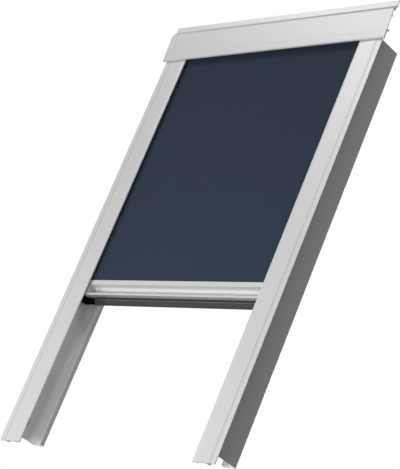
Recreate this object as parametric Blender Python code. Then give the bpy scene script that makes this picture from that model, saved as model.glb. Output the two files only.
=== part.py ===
"""Roof window blackout blind: fabric on a spring roller, a bottom bar in two side rails, and a cover.

Metres. X runs across the blind, -Y faces the room, +Z runs up along the rails. The origin is the
middle of the rails' bottom ends, half way through the depth of the whole blind.
Depths below are counted from the front face of the rails, and widths from the middle of the blind.
"""

import math

import bmesh
import bpy
from mathutils import Matrix, Vector

# Clearances
GAP = 0.0003
RUNNING_GAP = 0.0004
END_PLAY = 0.0018

# Side rails
RAIL_SPAN = 0.464
RAIL_LENGTH = 0.694
RAIL_WIDTH = 0.0449
RAIL_PLATE = 0.0018
RAIL_CROWN_WIDTH = 0.0065
RAIL_CROWN_DEPTH = 0.0011
RAIL_RETURN = 0.0030
RAIL_OVERHANG = 0.0145
RAIL_STEP = 0.0003
STRIP_WIDTH = 0.0075
GROOVE_WIDTH = 0.0045
GROOVE_DEPTH = 0.0005
CHANNEL_DEPTH = 0.0535
CHANNEL_WALL = 0.0015
CHANNEL_CUTBACK = 0.0170
CHANNEL_RADIUS = 0.0020
CHANNEL_LIP = 0.0225
CHANNEL_LIP_RETURN = 0.0075
CLIP_LENGTH = 0.0048
CLIP_TOE = 0.0006
CLIP_TOE_HEIGHT = 0.0010
GRIP_WALL = 0.0012
LEDGE_WIDTH = 0.0080
LEDGE_WALL = 0.0014
SEAL_WIDTH = 0.0050
SEAL_BACKING = 0.0008
SEAL_PILE = 0.0027
SEAL_RIB = 0.0024
TAPE_WIDTH = 0.0105
TAPE_THICKNESS = 0.0010
TAPE_INSET = 0.0040

# Headrail
COVER_OVERHANG = 0.0055
COVER_HEIGHT = 0.0668
COVER_LAP = 0.0096
COVER_WALL = 0.0014
COVER_FRONT = 0.0060
COVER_FOOT_FRONT = 0.0037
COVER_CREASE_FRONT = 0.0043
COVER_CREASE = 0.0126
COVER_CREASE_LINE = 0.0008
COVER_STEP_START = 0.0493
COVER_STEP_END = 0.0569
COVER_LIP_FRONT = 0.0009
COVER_RIB = 0.0022
COVER_FOOT_ROUND = 0.0012
COVER_FOOT_HEIGHT = 0.0014
COVER_FOOT_WALL = 0.0022
COVER_HOOK_TIP = 0.0012
COVER_NUB = 0.0034
CASING_WALL = 0.0015
CASING_FRONT = 0.0010
CASING_DEPTH = 0.0337
CASING_BOTTOM = 0.0146
CASING_TOP = 0.0537
CASING_BACK_RISE = 0.0040
BRACKET_PLATE = 0.0020
BRACKET_FRONT = 0.0028
BRACKET_TAB = 0.0153
MOUNT_WIDTH = 0.0400
MOUNT_HEIGHT = 0.0076
MOUNT_WALL = 0.0016
MOUNT_INSET = 0.0750
MOUNT_HOLE_RADIUS = 0.0021
MOUNT_HOLE_SPACING = 0.0240

# Roller and its spring
ROLLER_DEPTH = 0.0185
ROLLER_RISE = 0.0376
TUBE_RADIUS = 0.0090
TUBE_WALL = 0.0010
PLUG_COLLAR = 0.0013
IDLE_PLUG_LENGTH = 0.0155
DRIVE_PLUG_LENGTH = 0.0155
IDLE_PIN_RADIUS = 0.0030
BUSH_WALL = 0.0013
BUSH_LENGTH = 0.0100
PIN_HEAD_RADIUS = 0.0050
PIN_HEAD = 0.0014
ARBOR_RADIUS = 0.0025
ARBOR_SQUARE = 0.0060
ARBOR_LENGTH = 0.2600
ANCHOR_LENGTH = 0.0160
ANCHOR_RADIUS = 0.0068
SPRING_RADIUS = 0.0054
SPRING_WIRE = 0.0012
SPRING_TURNS = 20

# Fabric
FABRIC_THICKNESS = 0.0003
FABRIC_EDGE_LAP = 0.0064
FABRIC_RESERVE = 0.0600

# Bottom bar, with heights counted down from its top
BAR_TOP_HEIGHT = 0.2797
BAR_FRONT = 0.0060
BAR_SKIN = 0.0009
BAR_STRIP = 0.0077
BAR_TOP_DEPTH = 0.0098
BAR_WALL = 0.0016
BAR_SLOT = 0.0012
BAR_POCKET_ROOF = 0.0014
BAR_POCKET_FLOOR = 0.0015
BAR_POCKET_DEPTH = 0.0066
BAR_LIP_TOP = 0.0219
BAR_LIP_WALL = 0.0018
BAR_LIP_ROUND = 0.0016
BAR_BOTTOM = 0.0265
BAR_LEDGE_DEPTH = 0.0064
BAR_CORNER = 0.0004
BAR_BACK_ROOF = 0.0130
BAR_BACK_WAIST = 0.0165
BAR_BACK_KNEE = 0.0216
BAR_BACK_FOOT = 0.0282
BAR_ROOF_DROP = 0.0090
BAR_WAIST_DROP = 0.0135
BAR_KNEE_DROP = 0.0256
BAR_FOOT_DROP = 0.0295
BAR_SEAL = 0.0010
BAR_SEAL_START = 0.0236
BAR_FOAM = 0.0008
SPLINE_HEIGHT = 0.0040

# Bar ends
CAP_THICKNESS = 0.0030
CAP_PEG = 0.0080
SHOE_WIDTH = 0.0221
SHOE_BACK = 0.0330
SHOE_ARM_HEIGHT = 0.0130
SHOE_ARM_INSET = 0.0067
SHOE_TOP_DROP = 0.0010
PAD_SIZE = 0.0140
PAD_THICKNESS = 0.0033
PAD_POCKET = 0.0041
PAD_FRONT = 0.0130
PAD_DROP = 0.0085
PAD_SPRING_WIDTH = 0.0080
PAD_SPRING_THICKNESS = 0.0004

# Rail fittings
CONNECTOR_HEIGHT = 0.0177
CONNECTOR_TONGUE = 0.0200
CONNECTOR_TONGUE_WALL = 0.0038
CONNECTOR_BACK = 0.0270
STOP_WIDTH = 0.0065
STOP_HEIGHT = 0.0100
STOP_DEPTH = 0.0110
STOP_PLACE = 0.0170

# Screws
SCREW_RADIUS = 0.0013
SCREW_HEAD_RADIUS = 0.0026
SCREW_HEAD = 0.0016

# Facets
ROUND_STEPS = 32
SMALL_ROUND_STEPS = 12
CORNER_STEPS = 4
CROWN_STEPS = 9

# Worked out widths
COVER_HALF = RAIL_SPAN / 2 + COVER_OVERHANG
RAIL_OUT = RAIL_SPAN / 2
RAIL_IN = RAIL_OUT - RAIL_WIDTH
FLANGE_OUT = RAIL_OUT - RAIL_OVERHANG
FLANGE_IN = FLANGE_OUT - CHANNEL_WALL
LIP_IN = FLANGE_OUT - CHANNEL_LIP
FABRIC_HALF = RAIL_IN + FABRIC_EDGE_LAP
BRACKET_IN = FABRIC_HALF + END_PLAY
BRACKET_OUT = BRACKET_IN + BRACKET_PLATE
CASING_HALF = BRACKET_IN - GAP
MOUNT_PLACE = CASING_HALF - MOUNT_INSET
SEAL_IN = RAIL_IN + RAIL_PLATE + GAP
SEAL_OUT = SEAL_IN + SEAL_WIDTH
CLIP_OUT = FLANGE_IN - GAP
CLIP_IN = CLIP_OUT - CHANNEL_WALL
BAR_HALF = RAIL_IN + 0.0007
CAP_IN = BAR_HALF + GAP
CAP_OUT = CAP_IN + CAP_THICKNESS
SHOE_IN = CAP_OUT + GAP
SHOE_OUT = SHOE_IN + SHOE_WIDTH
PAD_OUT = FLANGE_IN - GAP
PAD_IN = PAD_OUT - PAD_THICKNESS
STOP_SCREW = FLANGE_IN - LEDGE_WIDTH * 0.65
STRIP_IN = RAIL_OUT - STRIP_WIDTH
GRIP_IN = FLANGE_OUT + GAP
GRIP_OUT = GRIP_IN + GRIP_WALL

# Worked out depths, from the front face of the rails
PLATE_BACK = RAIL_PLATE
CLIP_END = RAIL_PLATE + CLIP_LENGTH
LEDGE_FRONT = CLIP_END + 3 * GAP
LEDGE_BACK = LEDGE_FRONT + LEDGE_WALL
SHOE_FRONT = LEDGE_BACK + RUNNING_GAP
LIP_FACE = CHANNEL_DEPTH - CHANNEL_WALL
CASING_BACK = CASING_DEPTH - CASING_FRONT
CASING_INSIDE_BACK = CASING_BACK - CASING_WALL

# Worked out heights
COVER_BOTTOM = RAIL_LENGTH - COVER_LAP
COVER_TOP = COVER_BOTTOM + COVER_HEIGHT
CASING_LOW = COVER_BOTTOM + CASING_BOTTOM
CASING_HIGH = COVER_BOTTOM + CASING_TOP
ROLLER_HEIGHT = COVER_BOTTOM + ROLLER_RISE
CONNECTOR_LOW = RAIL_LENGTH - CONNECTOR_HEIGHT - GAP
STOP_LOW = CHANNEL_CUTBACK + STOP_PLACE
STOP_HIGH = STOP_LOW + STOP_HEIGHT
SHOE_LOW = BAR_TOP_HEIGHT - BAR_FOOT_DROP
TRAVEL_DOWN = SHOE_LOW - STOP_HIGH - RUNNING_GAP

# The fabric left on the tube at this height of the bar, and the plane in which the sheet hangs
WINDING_IN = TUBE_RADIUS + GAP
WINDING_AREA = (TRAVEL_DOWN + FABRIC_RESERVE) * FABRIC_THICKNESS
WINDING_OUT = math.sqrt(WINDING_IN**2 + WINDING_AREA / math.pi)
FABRIC_BACK = ROLLER_DEPTH - WINDING_OUT - GAP
FABRIC_FRONT = FABRIC_BACK - FABRIC_THICKNESS

# The depth of the whole blind is centred on the origin
CENTRING = (COVER_FRONT - CHANNEL_DEPTH) / 2

SIDES = (("left", -1), ("right", 1))


def clear_scene():
    for old in list(bpy.data.objects):
        bpy.data.objects.remove(old, do_unlink=True)


def finish(name, colour, roughness, metallic=0.0):
    made = bpy.data.materials.new(name)
    made.use_nodes = True
    made.diffuse_color = (*colour, 1.0)
    shader = made.node_tree.nodes["Principled BSDF"]
    shader.inputs["Base Color"].default_value = (*colour, 1.0)
    shader.inputs["Roughness"].default_value = roughness
    shader.inputs["Metallic"].default_value = metallic
    return made


def add_object(name, mesh_in_progress, material, origin=(0.0, 0.0, 0.0), smooth=False):
    """Makes the object whose mesh is given about `origin`, a point of the blind's own frame."""
    bmesh.ops.recalc_face_normals(mesh_in_progress, faces=mesh_in_progress.faces)
    mesh = bpy.data.meshes.new(name)
    mesh_in_progress.to_mesh(mesh)
    mesh_in_progress.free()
    if smooth:
        mesh.shade_smooth()
        mesh.set_sharp_from_angle(angle=math.radians(35))
    mesh.materials.append(material)
    made = bpy.data.objects.new(name, mesh)
    made.location = (origin[0], origin[1] + CENTRING, origin[2])
    bpy.context.scene.collection.objects.link(made)
    return made


def rounded(corners, steps=CORNER_STEPS):
    """Turns (u, v) and (u, v, radius) corners into an outline whose rounded corners are arcs."""
    outline = []
    count = len(corners)
    for index, corner in enumerate(corners):
        here = Vector(corner[:2])
        radius = corner[2] if len(corner) > 2 else 0.0
        if radius <= 0.0:
            outline.append(here)
            continue
        before = (Vector(corners[index - 1][:2]) - here).normalized()
        after = (Vector(corners[(index + 1) % count][:2]) - here).normalized()
        half = before.angle(after) / 2
        centre = here + (before + after).normalized() * radius / math.sin(half)
        start = here + before * radius / math.tan(half) - centre
        turn = start.angle_signed(here + after * radius / math.tan(half) - centre)
        for step in range(steps + 1):
            outline.append(centre + Matrix.Rotation(-turn * step / steps, 2) @ start)
    return outline


def place_point(axis, along, u, v):
    return {"X": (along, u, v), "Y": (u, along, v), "Z": (u, v, along)}[axis]


def extrusion_mesh(outline, axis, low, high):
    """A prism: the outline lies across `axis`, in the other two axes in X, Y, Z order."""
    made = bmesh.new()
    ring = [made.verts.new(place_point(axis, low, *point[:2])) for point in outline]
    face = made.faces.new(ring)
    grown = bmesh.ops.extrude_face_region(made, geom=[face])
    moved = [item for item in grown["geom"] if isinstance(item, bmesh.types.BMVert)]
    shift = Vector(place_point(axis, high - low, 0.0, 0.0))
    bmesh.ops.translate(made, verts=moved, vec=shift)
    return made


def extrude(name, outline, axis, low, high, material, origin=(0.0, 0.0, 0.0)):
    return add_object(name, extrusion_mesh(outline, axis, low, high), material, origin)


def box(name, x, y, z, material):
    outline = [(x[0], y[0]), (x[1], y[0]), (x[1], y[1]), (x[0], y[1])]
    return extrude(name, outline, "Z", z[0], z[1], material)


def mirrored(outline, side):
    return [(point[0] * side, *point[1:]) for point in outline]


def span(side, near, far):
    """The low and high ends of a stretch between two widths on one side of the blind."""
    return sorted((side * near, side * far))


def turned(name, profile, axis, centre, material, steps=ROUND_STEPS):
    """A round piece: (along, radius) points turned about `axis` through `centre`."""
    made = bmesh.new()
    points = [made.verts.new(place_point(axis, along, radius, 0.0)) for along, radius in profile]
    if axis == "Z":
        for vert, (along, radius) in zip(points, profile):
            vert.co = (radius, 0.0, along)
    edges = [made.edges.new(pair) for pair in zip(points, points[1:])]
    if profile[0][1] > 0.0:
        edges.append(made.edges.new((points[-1], points[0])))
    direction = place_point(axis, 1.0, 0.0, 0.0)
    bmesh.ops.spin(
        made,
        geom=points + edges,
        cent=(0.0, 0.0, 0.0),
        axis=direction,
        angle=2 * math.pi,
        steps=steps,
        use_merge=True,
    )
    bmesh.ops.remove_doubles(made, verts=made.verts, dist=1e-7)
    return add_object(name, made, material, centre, smooth=True)


def tube_profile(low, high, inner, outer):
    return [(low, inner), (high, inner), (high, outer), (low, outer)]


def rod_profile(*steps):
    """A solid round profile from (along, radius) steps, closed onto the axis at both ends."""
    return [(steps[0][0], 0.0), *steps, (steps[-1][0], 0.0)]


def as_tool(tool):
    tool.hide_render = True
    tool.display_type = "WIRE"
    return tool


def combine(target, tool, operation):
    modifier = target.modifiers.new(tool.name, "BOOLEAN")
    modifier.operation = operation
    modifier.object = as_tool(tool)
    modifier.solver = "EXACT"


def drill(target, axis, centre, low, high, radius):
    """A round hole through `target` along `axis`, between two places on that axis."""
    profile = rod_profile((low, radius), (high, radius))
    tool = turned(target.name + "_drill", profile, axis, centre, GUIDE, SMALL_ROUND_STEPS)
    combine(target, tool, "DIFFERENCE")


def screw(name, axis, centre, head_at, tip_at, shank_radius=SCREW_RADIUS):
    """A pan head screw whose head stands on `head_at`, away from its tip."""
    out = 1.0 if head_at > tip_at else -1.0
    crown = SCREW_HEAD_RADIUS * 0.72
    profile = rod_profile(
        (tip_at, shank_radius * 0.55),
        (tip_at + out * shank_radius, shank_radius),
        (head_at, shank_radius),
        (head_at, SCREW_HEAD_RADIUS),
        (head_at + out * SCREW_HEAD * 0.55, SCREW_HEAD_RADIUS),
        (head_at + out * SCREW_HEAD, crown),
    )
    return turned(name, profile, axis, centre, STEEL, SMALL_ROUND_STEPS)


def offset_path(path, distance):
    """The open path moved sideways by `distance`, to the right of its direction, with mitred bends."""
    moved = []
    for index, point in enumerate(path):
        here = Vector(point)
        normals = []
        for start, end in ((index - 1, index), (index, index + 1)):
            if start < 0 or end >= len(path):
                continue
            run = (Vector(path[end]) - Vector(path[start])).normalized()
            normals.append(Vector((run.y, -run.x)))
        mitre = sum(normals, Vector((0.0, 0.0))).normalized()
        moved.append(here + mitre * distance / mitre.dot(normals[0]))
    return moved


def smooth_path(knots, per_span=6):
    """A Catmull-Rom curve through the knots."""
    ends = [knots[0], *knots, knots[-1]]
    path = []
    for index in range(1, len(ends) - 2):
        p0, p1, p2, p3 = (Vector(ends[index + shift]) for shift in (-1, 0, 1, 2))
        for step in range(per_span):
            t = step / per_span
            bend = (2 * p0 - 5 * p1 + 4 * p2 - p3) * t**2 + (3 * p1 - p0 - 3 * p2 + p3) * t**3
            path.append(p1 + ((p2 - p0) * t + bend) / 2)
    path.append(Vector(knots[-1]))
    return path


def across(path, depth, height):
    return [Vector((point.x + depth, point.y + height)) for point in path]


# Rails


def rail_crown():
    """The rail face's inner margin, which curves back to its edge as a quarter of an ellipse."""
    points = []
    for step in range(CROWN_STEPS + 1):
        turn = math.pi / 2 * step / CROWN_STEPS
        width = RAIL_CROWN_WIDTH * (1 - math.cos(turn))
        depth = RAIL_CROWN_DEPTH * (1 - math.sin(turn))
        points.append((RAIL_IN + width, depth))
    return points


def rail_cover(side_name, side):
    """The rail's front plate. Two ribs behind it, one with a toe, grip the channel's flange."""
    outline = rounded(
        [
            (RAIL_IN, RAIL_RETURN, 0.0004),
            *rail_crown(),
            (STRIP_IN - GROOVE_WIDTH, 0.0),
            (STRIP_IN - GROOVE_WIDTH * 0.22, GROOVE_DEPTH, 0.0004),
            (STRIP_IN, RAIL_STEP),
            (RAIL_OUT, RAIL_STEP, 0.0004),
            (RAIL_OUT, PLATE_BACK, 0.0003),
            (GRIP_OUT, PLATE_BACK),
            (GRIP_OUT, CLIP_END),
            (GRIP_IN, CLIP_END),
            (GRIP_IN, PLATE_BACK),
            (CLIP_OUT, PLATE_BACK),
            (CLIP_OUT, CLIP_END - 2.4 * CLIP_TOE_HEIGHT),
            (CLIP_OUT + CLIP_TOE, CLIP_END - 2 * CLIP_TOE_HEIGHT),
            (CLIP_OUT + CLIP_TOE, CLIP_END - CLIP_TOE_HEIGHT),
            (CLIP_OUT, CLIP_END),
            (CLIP_IN, CLIP_END),
            (CLIP_IN, PLATE_BACK),
            (SEAL_OUT + GAP + CHANNEL_WALL, PLATE_BACK),
            (SEAL_OUT + GAP + CHANNEL_WALL, PLATE_BACK + SEAL_RIB),
            (SEAL_OUT + GAP, PLATE_BACK + SEAL_RIB),
            (SEAL_OUT + GAP, PLATE_BACK),
            (RAIL_IN + RAIL_PLATE, PLATE_BACK),
            (RAIL_IN + RAIL_PLATE, RAIL_RETURN, 0.0004),
        ]
    )
    extrude(side_name + "_rail_cover", mirrored(outline, side), "Z", 0.0, RAIL_LENGTH, ALUMINIUM)


def rail_channel(side_name, side):
    toe_room = CLIP_OUT + CLIP_TOE + GAP
    outline = rounded(
        [
            (FLANGE_OUT, PLATE_BACK + GAP),
            (FLANGE_OUT, CHANNEL_DEPTH, CHANNEL_RADIUS),
            (LIP_IN, CHANNEL_DEPTH, 0.0008),
            (LIP_IN, CHANNEL_DEPTH - CHANNEL_LIP_RETURN, 0.0003),
            (LIP_IN + CHANNEL_WALL, CHANNEL_DEPTH - CHANNEL_LIP_RETURN, 0.0003),
            (LIP_IN + CHANNEL_WALL, LIP_FACE, 0.0005),
            (FLANGE_IN, LIP_FACE, CHANNEL_RADIUS - CHANNEL_WALL),
            (FLANGE_IN, LEDGE_BACK),
            (FLANGE_IN - LEDGE_WIDTH, LEDGE_BACK),
            (FLANGE_IN - LEDGE_WIDTH, LEDGE_FRONT),
            (FLANGE_IN, LEDGE_FRONT),
            (FLANGE_IN, CLIP_END - 0.1 * CLIP_TOE_HEIGHT),
            (toe_room, CLIP_END - 0.1 * CLIP_TOE_HEIGHT),
            (toe_room, CLIP_END - 2.7 * CLIP_TOE_HEIGHT),
            (FLANGE_IN, CLIP_END - 2.7 * CLIP_TOE_HEIGHT),
            (FLANGE_IN, PLATE_BACK + GAP),
        ]
    )
    name = side_name + "_rail_channel"
    channel = extrude(name, mirrored(outline, side), "Z", CHANNEL_CUTBACK, RAIL_LENGTH, ALUMINIUM)
    centre = (side * STOP_SCREW, 0.0, STOP_LOW + STOP_HEIGHT / 2)
    drill(channel, "Y", centre, CLIP_END - 0.001, LEDGE_BACK + 0.001, SCREW_RADIUS + GAP)


def rail_seal(side_name, side):
    base = PLATE_BACK + GAP
    inset = SEAL_WIDTH * 0.18
    outline = [
        (SEAL_IN, base),
        (SEAL_OUT, base),
        (SEAL_OUT, base + SEAL_BACKING),
        (SEAL_OUT - inset, base + SEAL_BACKING),
        (SEAL_OUT - inset, base + SEAL_BACKING + SEAL_PILE),
        (SEAL_IN + inset, base + SEAL_BACKING + SEAL_PILE),
        (SEAL_IN + inset, base + SEAL_BACKING),
        (SEAL_IN, base + SEAL_BACKING),
    ]
    high = RAIL_LENGTH - 0.001
    extrude(side_name + "_rail_seal", mirrored(outline, side), "Z", 0.001, high, PILE)


def rail_tape(side_name, side):
    x = span(side, GRIP_OUT + 3 * GAP, GRIP_OUT + 3 * GAP + TAPE_WIDTH)
    y = (PLATE_BACK + GAP, PLATE_BACK + GAP + TAPE_THICKNESS)
    z = (CHANNEL_CUTBACK + TAPE_INSET, RAIL_LENGTH - TAPE_INSET)
    box(side_name + "_rail_tape", x, y, z, FOAM)


def top_connector(side_name, side):
    tongue_in = BRACKET_OUT + GAP
    tongue_out = tongue_in + CONNECTOR_TONGUE_WALL
    body_in = LIP_IN + CHANNEL_WALL + 5 * GAP
    outline = rounded(
        [
            (body_in, CONNECTOR_LOW, 0.0006),
            (PAD_OUT, CONNECTOR_LOW, 0.0006),
            (PAD_OUT, RAIL_LENGTH - GAP, 0.0006),
            (tongue_out, RAIL_LENGTH - GAP),
            (tongue_out, RAIL_LENGTH + CONNECTOR_TONGUE, 0.0010),
            (tongue_in, RAIL_LENGTH + CONNECTOR_TONGUE, 0.0006),
            (tongue_in, RAIL_LENGTH - 2 * GAP),
            (body_in, RAIL_LENGTH - 2 * GAP),
        ]
    )
    name = side_name + "_top_connector"
    front = LEDGE_BACK + GAP
    piece = extrude(name, mirrored(outline, side), "Y", front, CONNECTOR_BACK, NYLON)
    ends = span(side, tongue_in - 0.001, tongue_out + 0.001)
    drill(piece, "X", connector_screw_centre(), *ends, SCREW_RADIUS + GAP)
    ends = (side * (tongue_out + GAP), side * (BRACKET_IN + GAP))
    screw(side_name + "_connector_screw", "X", connector_screw_centre(), *ends)


def connector_screw_centre():
    return (0.0, ROLLER_DEPTH, RAIL_LENGTH + CONNECTOR_TONGUE * 0.55)


def end_stop(side_name, side):
    x = span(side, STOP_SCREW - STOP_WIDTH / 2, STOP_SCREW + STOP_WIDTH / 2)
    front = LEDGE_BACK + GAP
    back = front + STOP_DEPTH
    block = box(side_name + "_end_stop", x, (front, back), (STOP_LOW, STOP_HIGH), RUBBER)
    centre = (side * STOP_SCREW, 0.0, STOP_LOW + STOP_HEIGHT / 2)
    drill(block, "Y", centre, front - 0.001, back + 0.001, SCREW_RADIUS + GAP)
    screw(side_name + "_stop_screw", "Y", centre, back + GAP, LEDGE_FRONT + GAP)


# Headrail


def cover_face():
    """The cover's outer face, from its bottom edge to its top, as (depth, height) points."""
    return [
        (-COVER_FOOT_FRONT, COVER_BOTTOM),
        (-COVER_CREASE_FRONT, COVER_BOTTOM + COVER_CREASE),
        (-COVER_FRONT, COVER_BOTTOM + COVER_STEP_START),
        (-COVER_LIP_FRONT, COVER_BOTTOM + COVER_STEP_END),
        (-COVER_LIP_FRONT, COVER_TOP),
    ]


def crease_line(face):
    """A fine V groove along the crease of the face, as three points of its outline."""
    low, crease, high = (Vector(point) for point in face[:3])
    half = COVER_CREASE_LINE / 2
    before = crease + (low - crease).normalized() * half
    after = crease + (high - crease).normalized() * half
    return [tuple(before), (crease.x + half, crease.y), tuple(after)]


def headrail_cover():
    outer = cover_face()
    inner = offset_path(outer, COVER_WALL)

    def inner_depth(height):
        for low, high in zip(inner, inner[1:]):
            if low.y <= height <= high.y:
                share = (height - low.y) / (high.y - low.y)
                return low.x + (high.x - low.x) * share
        return inner[0].x

    casing_face = -CASING_FRONT
    hook_low = CASING_LOW - GAP - COVER_WALL
    tip_in = casing_face + CASING_WALL + GAP
    tip_out = tip_in + COVER_HOOK_TIP
    tip_top = CASING_LOW + COVER_HOOK_TIP
    nub_low = COVER_BOTTOM + ROLLER_RISE - COVER_NUB / 2
    nub_high = nub_low + COVER_NUB
    foot_round = min(COVER_FOOT_ROUND, (COVER_FOOT_FRONT - GAP) * 0.76)
    corners = [
        (*outer[0], foot_round),
        *crease_line(outer),
        (*outer[2], 0.0015),
        (*outer[3], 0.0010),
        (*outer[4], 0.0006),
    ]
    rib_high = CASING_HIGH + 2 * GAP
    rib_low = outer[2][1] - COVER_RIB
    foot_back = -COVER_FOOT_FRONT + COVER_FOOT_WALL
    foot_top = COVER_BOTTOM + COVER_FOOT_HEIGHT
    back = [
        (inner[4].x, COVER_TOP, 0.0006),
        (inner[4].x, rib_high, 0.0004),
        (casing_face - GAP, rib_high, 0.0003),
        (casing_face - GAP, rib_low, 0.0006),
        (inner_depth(rib_low - COVER_RIB / 2), rib_low - COVER_RIB / 2, 0.0006),
        (inner_depth(nub_high), nub_high),
        (casing_face - GAP, nub_high - COVER_NUB * 0.3),
        (casing_face - GAP, nub_low + COVER_NUB * 0.3),
        (inner_depth(nub_low), nub_low),
        (inner_depth(hook_low + COVER_WALL), hook_low + COVER_WALL),
        (tip_in, hook_low + COVER_WALL),
        (tip_in, tip_top),
        (tip_out, tip_top, 0.0004),
        (tip_out, hook_low, 0.0008),
        (foot_back, hook_low),
        (foot_back, foot_top, 0.0004),
        (-GAP, foot_top, 0.0004),
        (-GAP, COVER_BOTTOM, 0.0004),
    ]
    outline = rounded(corners + back)
    extrude("headrail_cover", outline, "X", -COVER_HALF, COVER_HALF, ALUMINIUM)


def headrail_casing():
    front = -CASING_FRONT
    wall = CASING_WALL
    outline = rounded(
        [
            (front, CASING_LOW, 0.0003),
            (front, CASING_HIGH, 0.0006),
            (CASING_BACK, CASING_HIGH, 0.0012),
            (CASING_BACK, CASING_LOW + CASING_BACK_RISE, 0.0003),
            (CASING_INSIDE_BACK, CASING_LOW + CASING_BACK_RISE, 0.0003),
            (CASING_INSIDE_BACK, CASING_HIGH - wall, 0.0006),
            (front + wall, CASING_HIGH - wall, 0.0004),
            (front + wall, CASING_LOW, 0.0003),
        ]
    )
    casing = extrude("headrail_casing", outline, "X", -CASING_HALF, CASING_HALF, ALUMINIUM)
    low, high = CASING_HIGH - wall - 0.001, CASING_HIGH + 0.001
    for _, side in SIDES:
        centre = (side * bracket_screw_place(), ROLLER_DEPTH, 0.0)
        drill(casing, "Z", centre, low, high, SCREW_RADIUS + GAP)
        for end in (-1, 1):
            centre = mount_screw_centre(side, end)
            drill(casing, "Z", centre, low, high, SCREW_RADIUS + GAP)


def bracket_screw_place():
    return BRACKET_IN - BRACKET_TAB / 2


def roller_bracket(side_name, side):
    tab_top = CASING_HIGH - CASING_WALL - GAP
    tab_low = tab_top - CASING_WALL
    outline = rounded(
        [
            (BRACKET_IN, CASING_LOW, 0.0004),
            (BRACKET_OUT, CASING_LOW, 0.0004),
            (BRACKET_OUT, tab_top, 0.0015),
            (BRACKET_IN - BRACKET_TAB, tab_top, 0.0004),
            (BRACKET_IN - BRACKET_TAB, tab_low, 0.0004),
            (BRACKET_IN, tab_low),
        ]
    )
    back = CASING_INSIDE_BACK - GAP
    name = side_name + "_roller_bracket"
    bracket = extrude(name, mirrored(outline, side), "Y", BRACKET_FRONT, back, ZINC)
    ends = span(side, BRACKET_IN - 0.001, BRACKET_OUT + 0.001)
    if side < 0:
        drill(bracket, "X", roller_centre(), *ends, IDLE_PIN_RADIUS + GAP)
    else:
        half = ARBOR_SQUARE / 2 + GAP
        y = (ROLLER_DEPTH - half, ROLLER_DEPTH + half)
        z = (ROLLER_HEIGHT - half, ROLLER_HEIGHT + half)
        combine(bracket, box(name + "_square", ends, y, z, GUIDE), "DIFFERENCE")
    drill(bracket, "X", connector_screw_centre(), *ends, SCREW_RADIUS + GAP)
    centre = (side * bracket_screw_place(), ROLLER_DEPTH, 0.0)
    drill(bracket, "Z", centre, tab_low - 0.001, tab_top + 0.001, SCREW_RADIUS + GAP)
    screw(side_name + "_bracket_screw", "Z", centre, CASING_HIGH + GAP, tab_low + GAP)


def mount_screw_centre(side, end):
    return (side * MOUNT_PLACE + end * MOUNT_HOLE_SPACING / 2, ROLLER_DEPTH, 0.0)


def mounting_plate(side_name, side):
    low = CASING_HIGH + GAP
    high = low + MOUNT_HEIGHT
    front, back = BRACKET_FRONT, CASING_BACK - 0.0015
    wall = MOUNT_WALL
    outline = rounded(
        [
            (front, low),
            (back, low, 0.0016),
            (back, high, 0.0016),
            (front, high),
            (front, high - wall),
            (back - wall, high - wall),
            (back - wall, low + wall),
            (front, low + wall),
        ]
    )
    x = (side * MOUNT_PLACE - MOUNT_WIDTH / 2, side * MOUNT_PLACE + MOUNT_WIDTH / 2)
    plate = extrude(side_name + "_mounting_plate", outline, "X", *x, ZINC)
    for end_name, end in (("inner", -side), ("outer", side)):
        centre = mount_screw_centre(side, end)
        drill(plate, "Z", centre, low - 0.001, low + wall + 0.001, SCREW_RADIUS + GAP)
        drill(plate, "Z", centre, high - wall - 0.001, high + 0.001, MOUNT_HOLE_RADIUS)
        name = f"{side_name}_{end_name}_plate_screw"
        screw(name, "Z", centre, low + wall + GAP, CASING_HIGH - wall + GAP)


# Roller


def roller_centre():
    return (0.0, ROLLER_DEPTH, ROLLER_HEIGHT)


def roller():
    bore = TUBE_RADIUS - TUBE_WALL
    tube = tube_profile(-FABRIC_HALF, FABRIC_HALF, bore, TUBE_RADIUS)
    turned("roller_tube", tube, "X", roller_centre(), ALUMINIUM)
    winding = tube_profile(-FABRIC_HALF, FABRIC_HALF, WINDING_IN, WINDING_OUT)
    turned("fabric_winding", winding, "X", roller_centre(), FABRIC)


def end_plug(name, side, length, bore):
    """A plug in one end of the tube, with a collar against the tube's end and a bore for a bush."""
    body = TUBE_RADIUS - TUBE_WALL - GAP
    collar = side * (FABRIC_HALF + GAP)
    inner = side * (FABRIC_HALF - length)
    outer = side * (FABRIC_HALF + GAP + PLUG_COLLAR)
    profile = [
        (inner, bore),
        (inner, body),
        (collar, body),
        (collar, TUBE_RADIUS),
        (outer, TUBE_RADIUS),
        (outer, bore),
    ]
    turned(name, profile, "X", roller_centre(), NYLON, SMALL_ROUND_STEPS * 2)


def bush(name, side, shaft_radius):
    outer = side * (FABRIC_HALF + GAP + PLUG_COLLAR - 0.0002)
    inner = outer - side * BUSH_LENGTH
    bore = shaft_radius + GAP / 3
    profile = tube_profile(inner, outer, bore, bore + BUSH_WALL)
    turned(name, profile, "X", roller_centre(), BRONZE, SMALL_ROUND_STEPS * 2)


def bush_seat(shaft_radius):
    return shaft_radius + GAP / 3 + BUSH_WALL + GAP


def idle_end():
    end_plug("idle_end_plug", -1, IDLE_PLUG_LENGTH, bush_seat(IDLE_PIN_RADIUS))
    bush("idle_bush", -1, IDLE_PIN_RADIUS)
    head = -(BRACKET_OUT + GAP)
    tip = -(FABRIC_HALF - IDLE_PLUG_LENGTH + 0.0010)
    profile = rod_profile(
        (tip, IDLE_PIN_RADIUS * 0.8),
        (tip - 0.0006, IDLE_PIN_RADIUS),
        (head, IDLE_PIN_RADIUS),
        (head, PIN_HEAD_RADIUS),
        (head - PIN_HEAD, PIN_HEAD_RADIUS),
    )
    turned("idle_pin", profile, "X", roller_centre(), STEEL, SMALL_ROUND_STEPS * 2)


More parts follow.
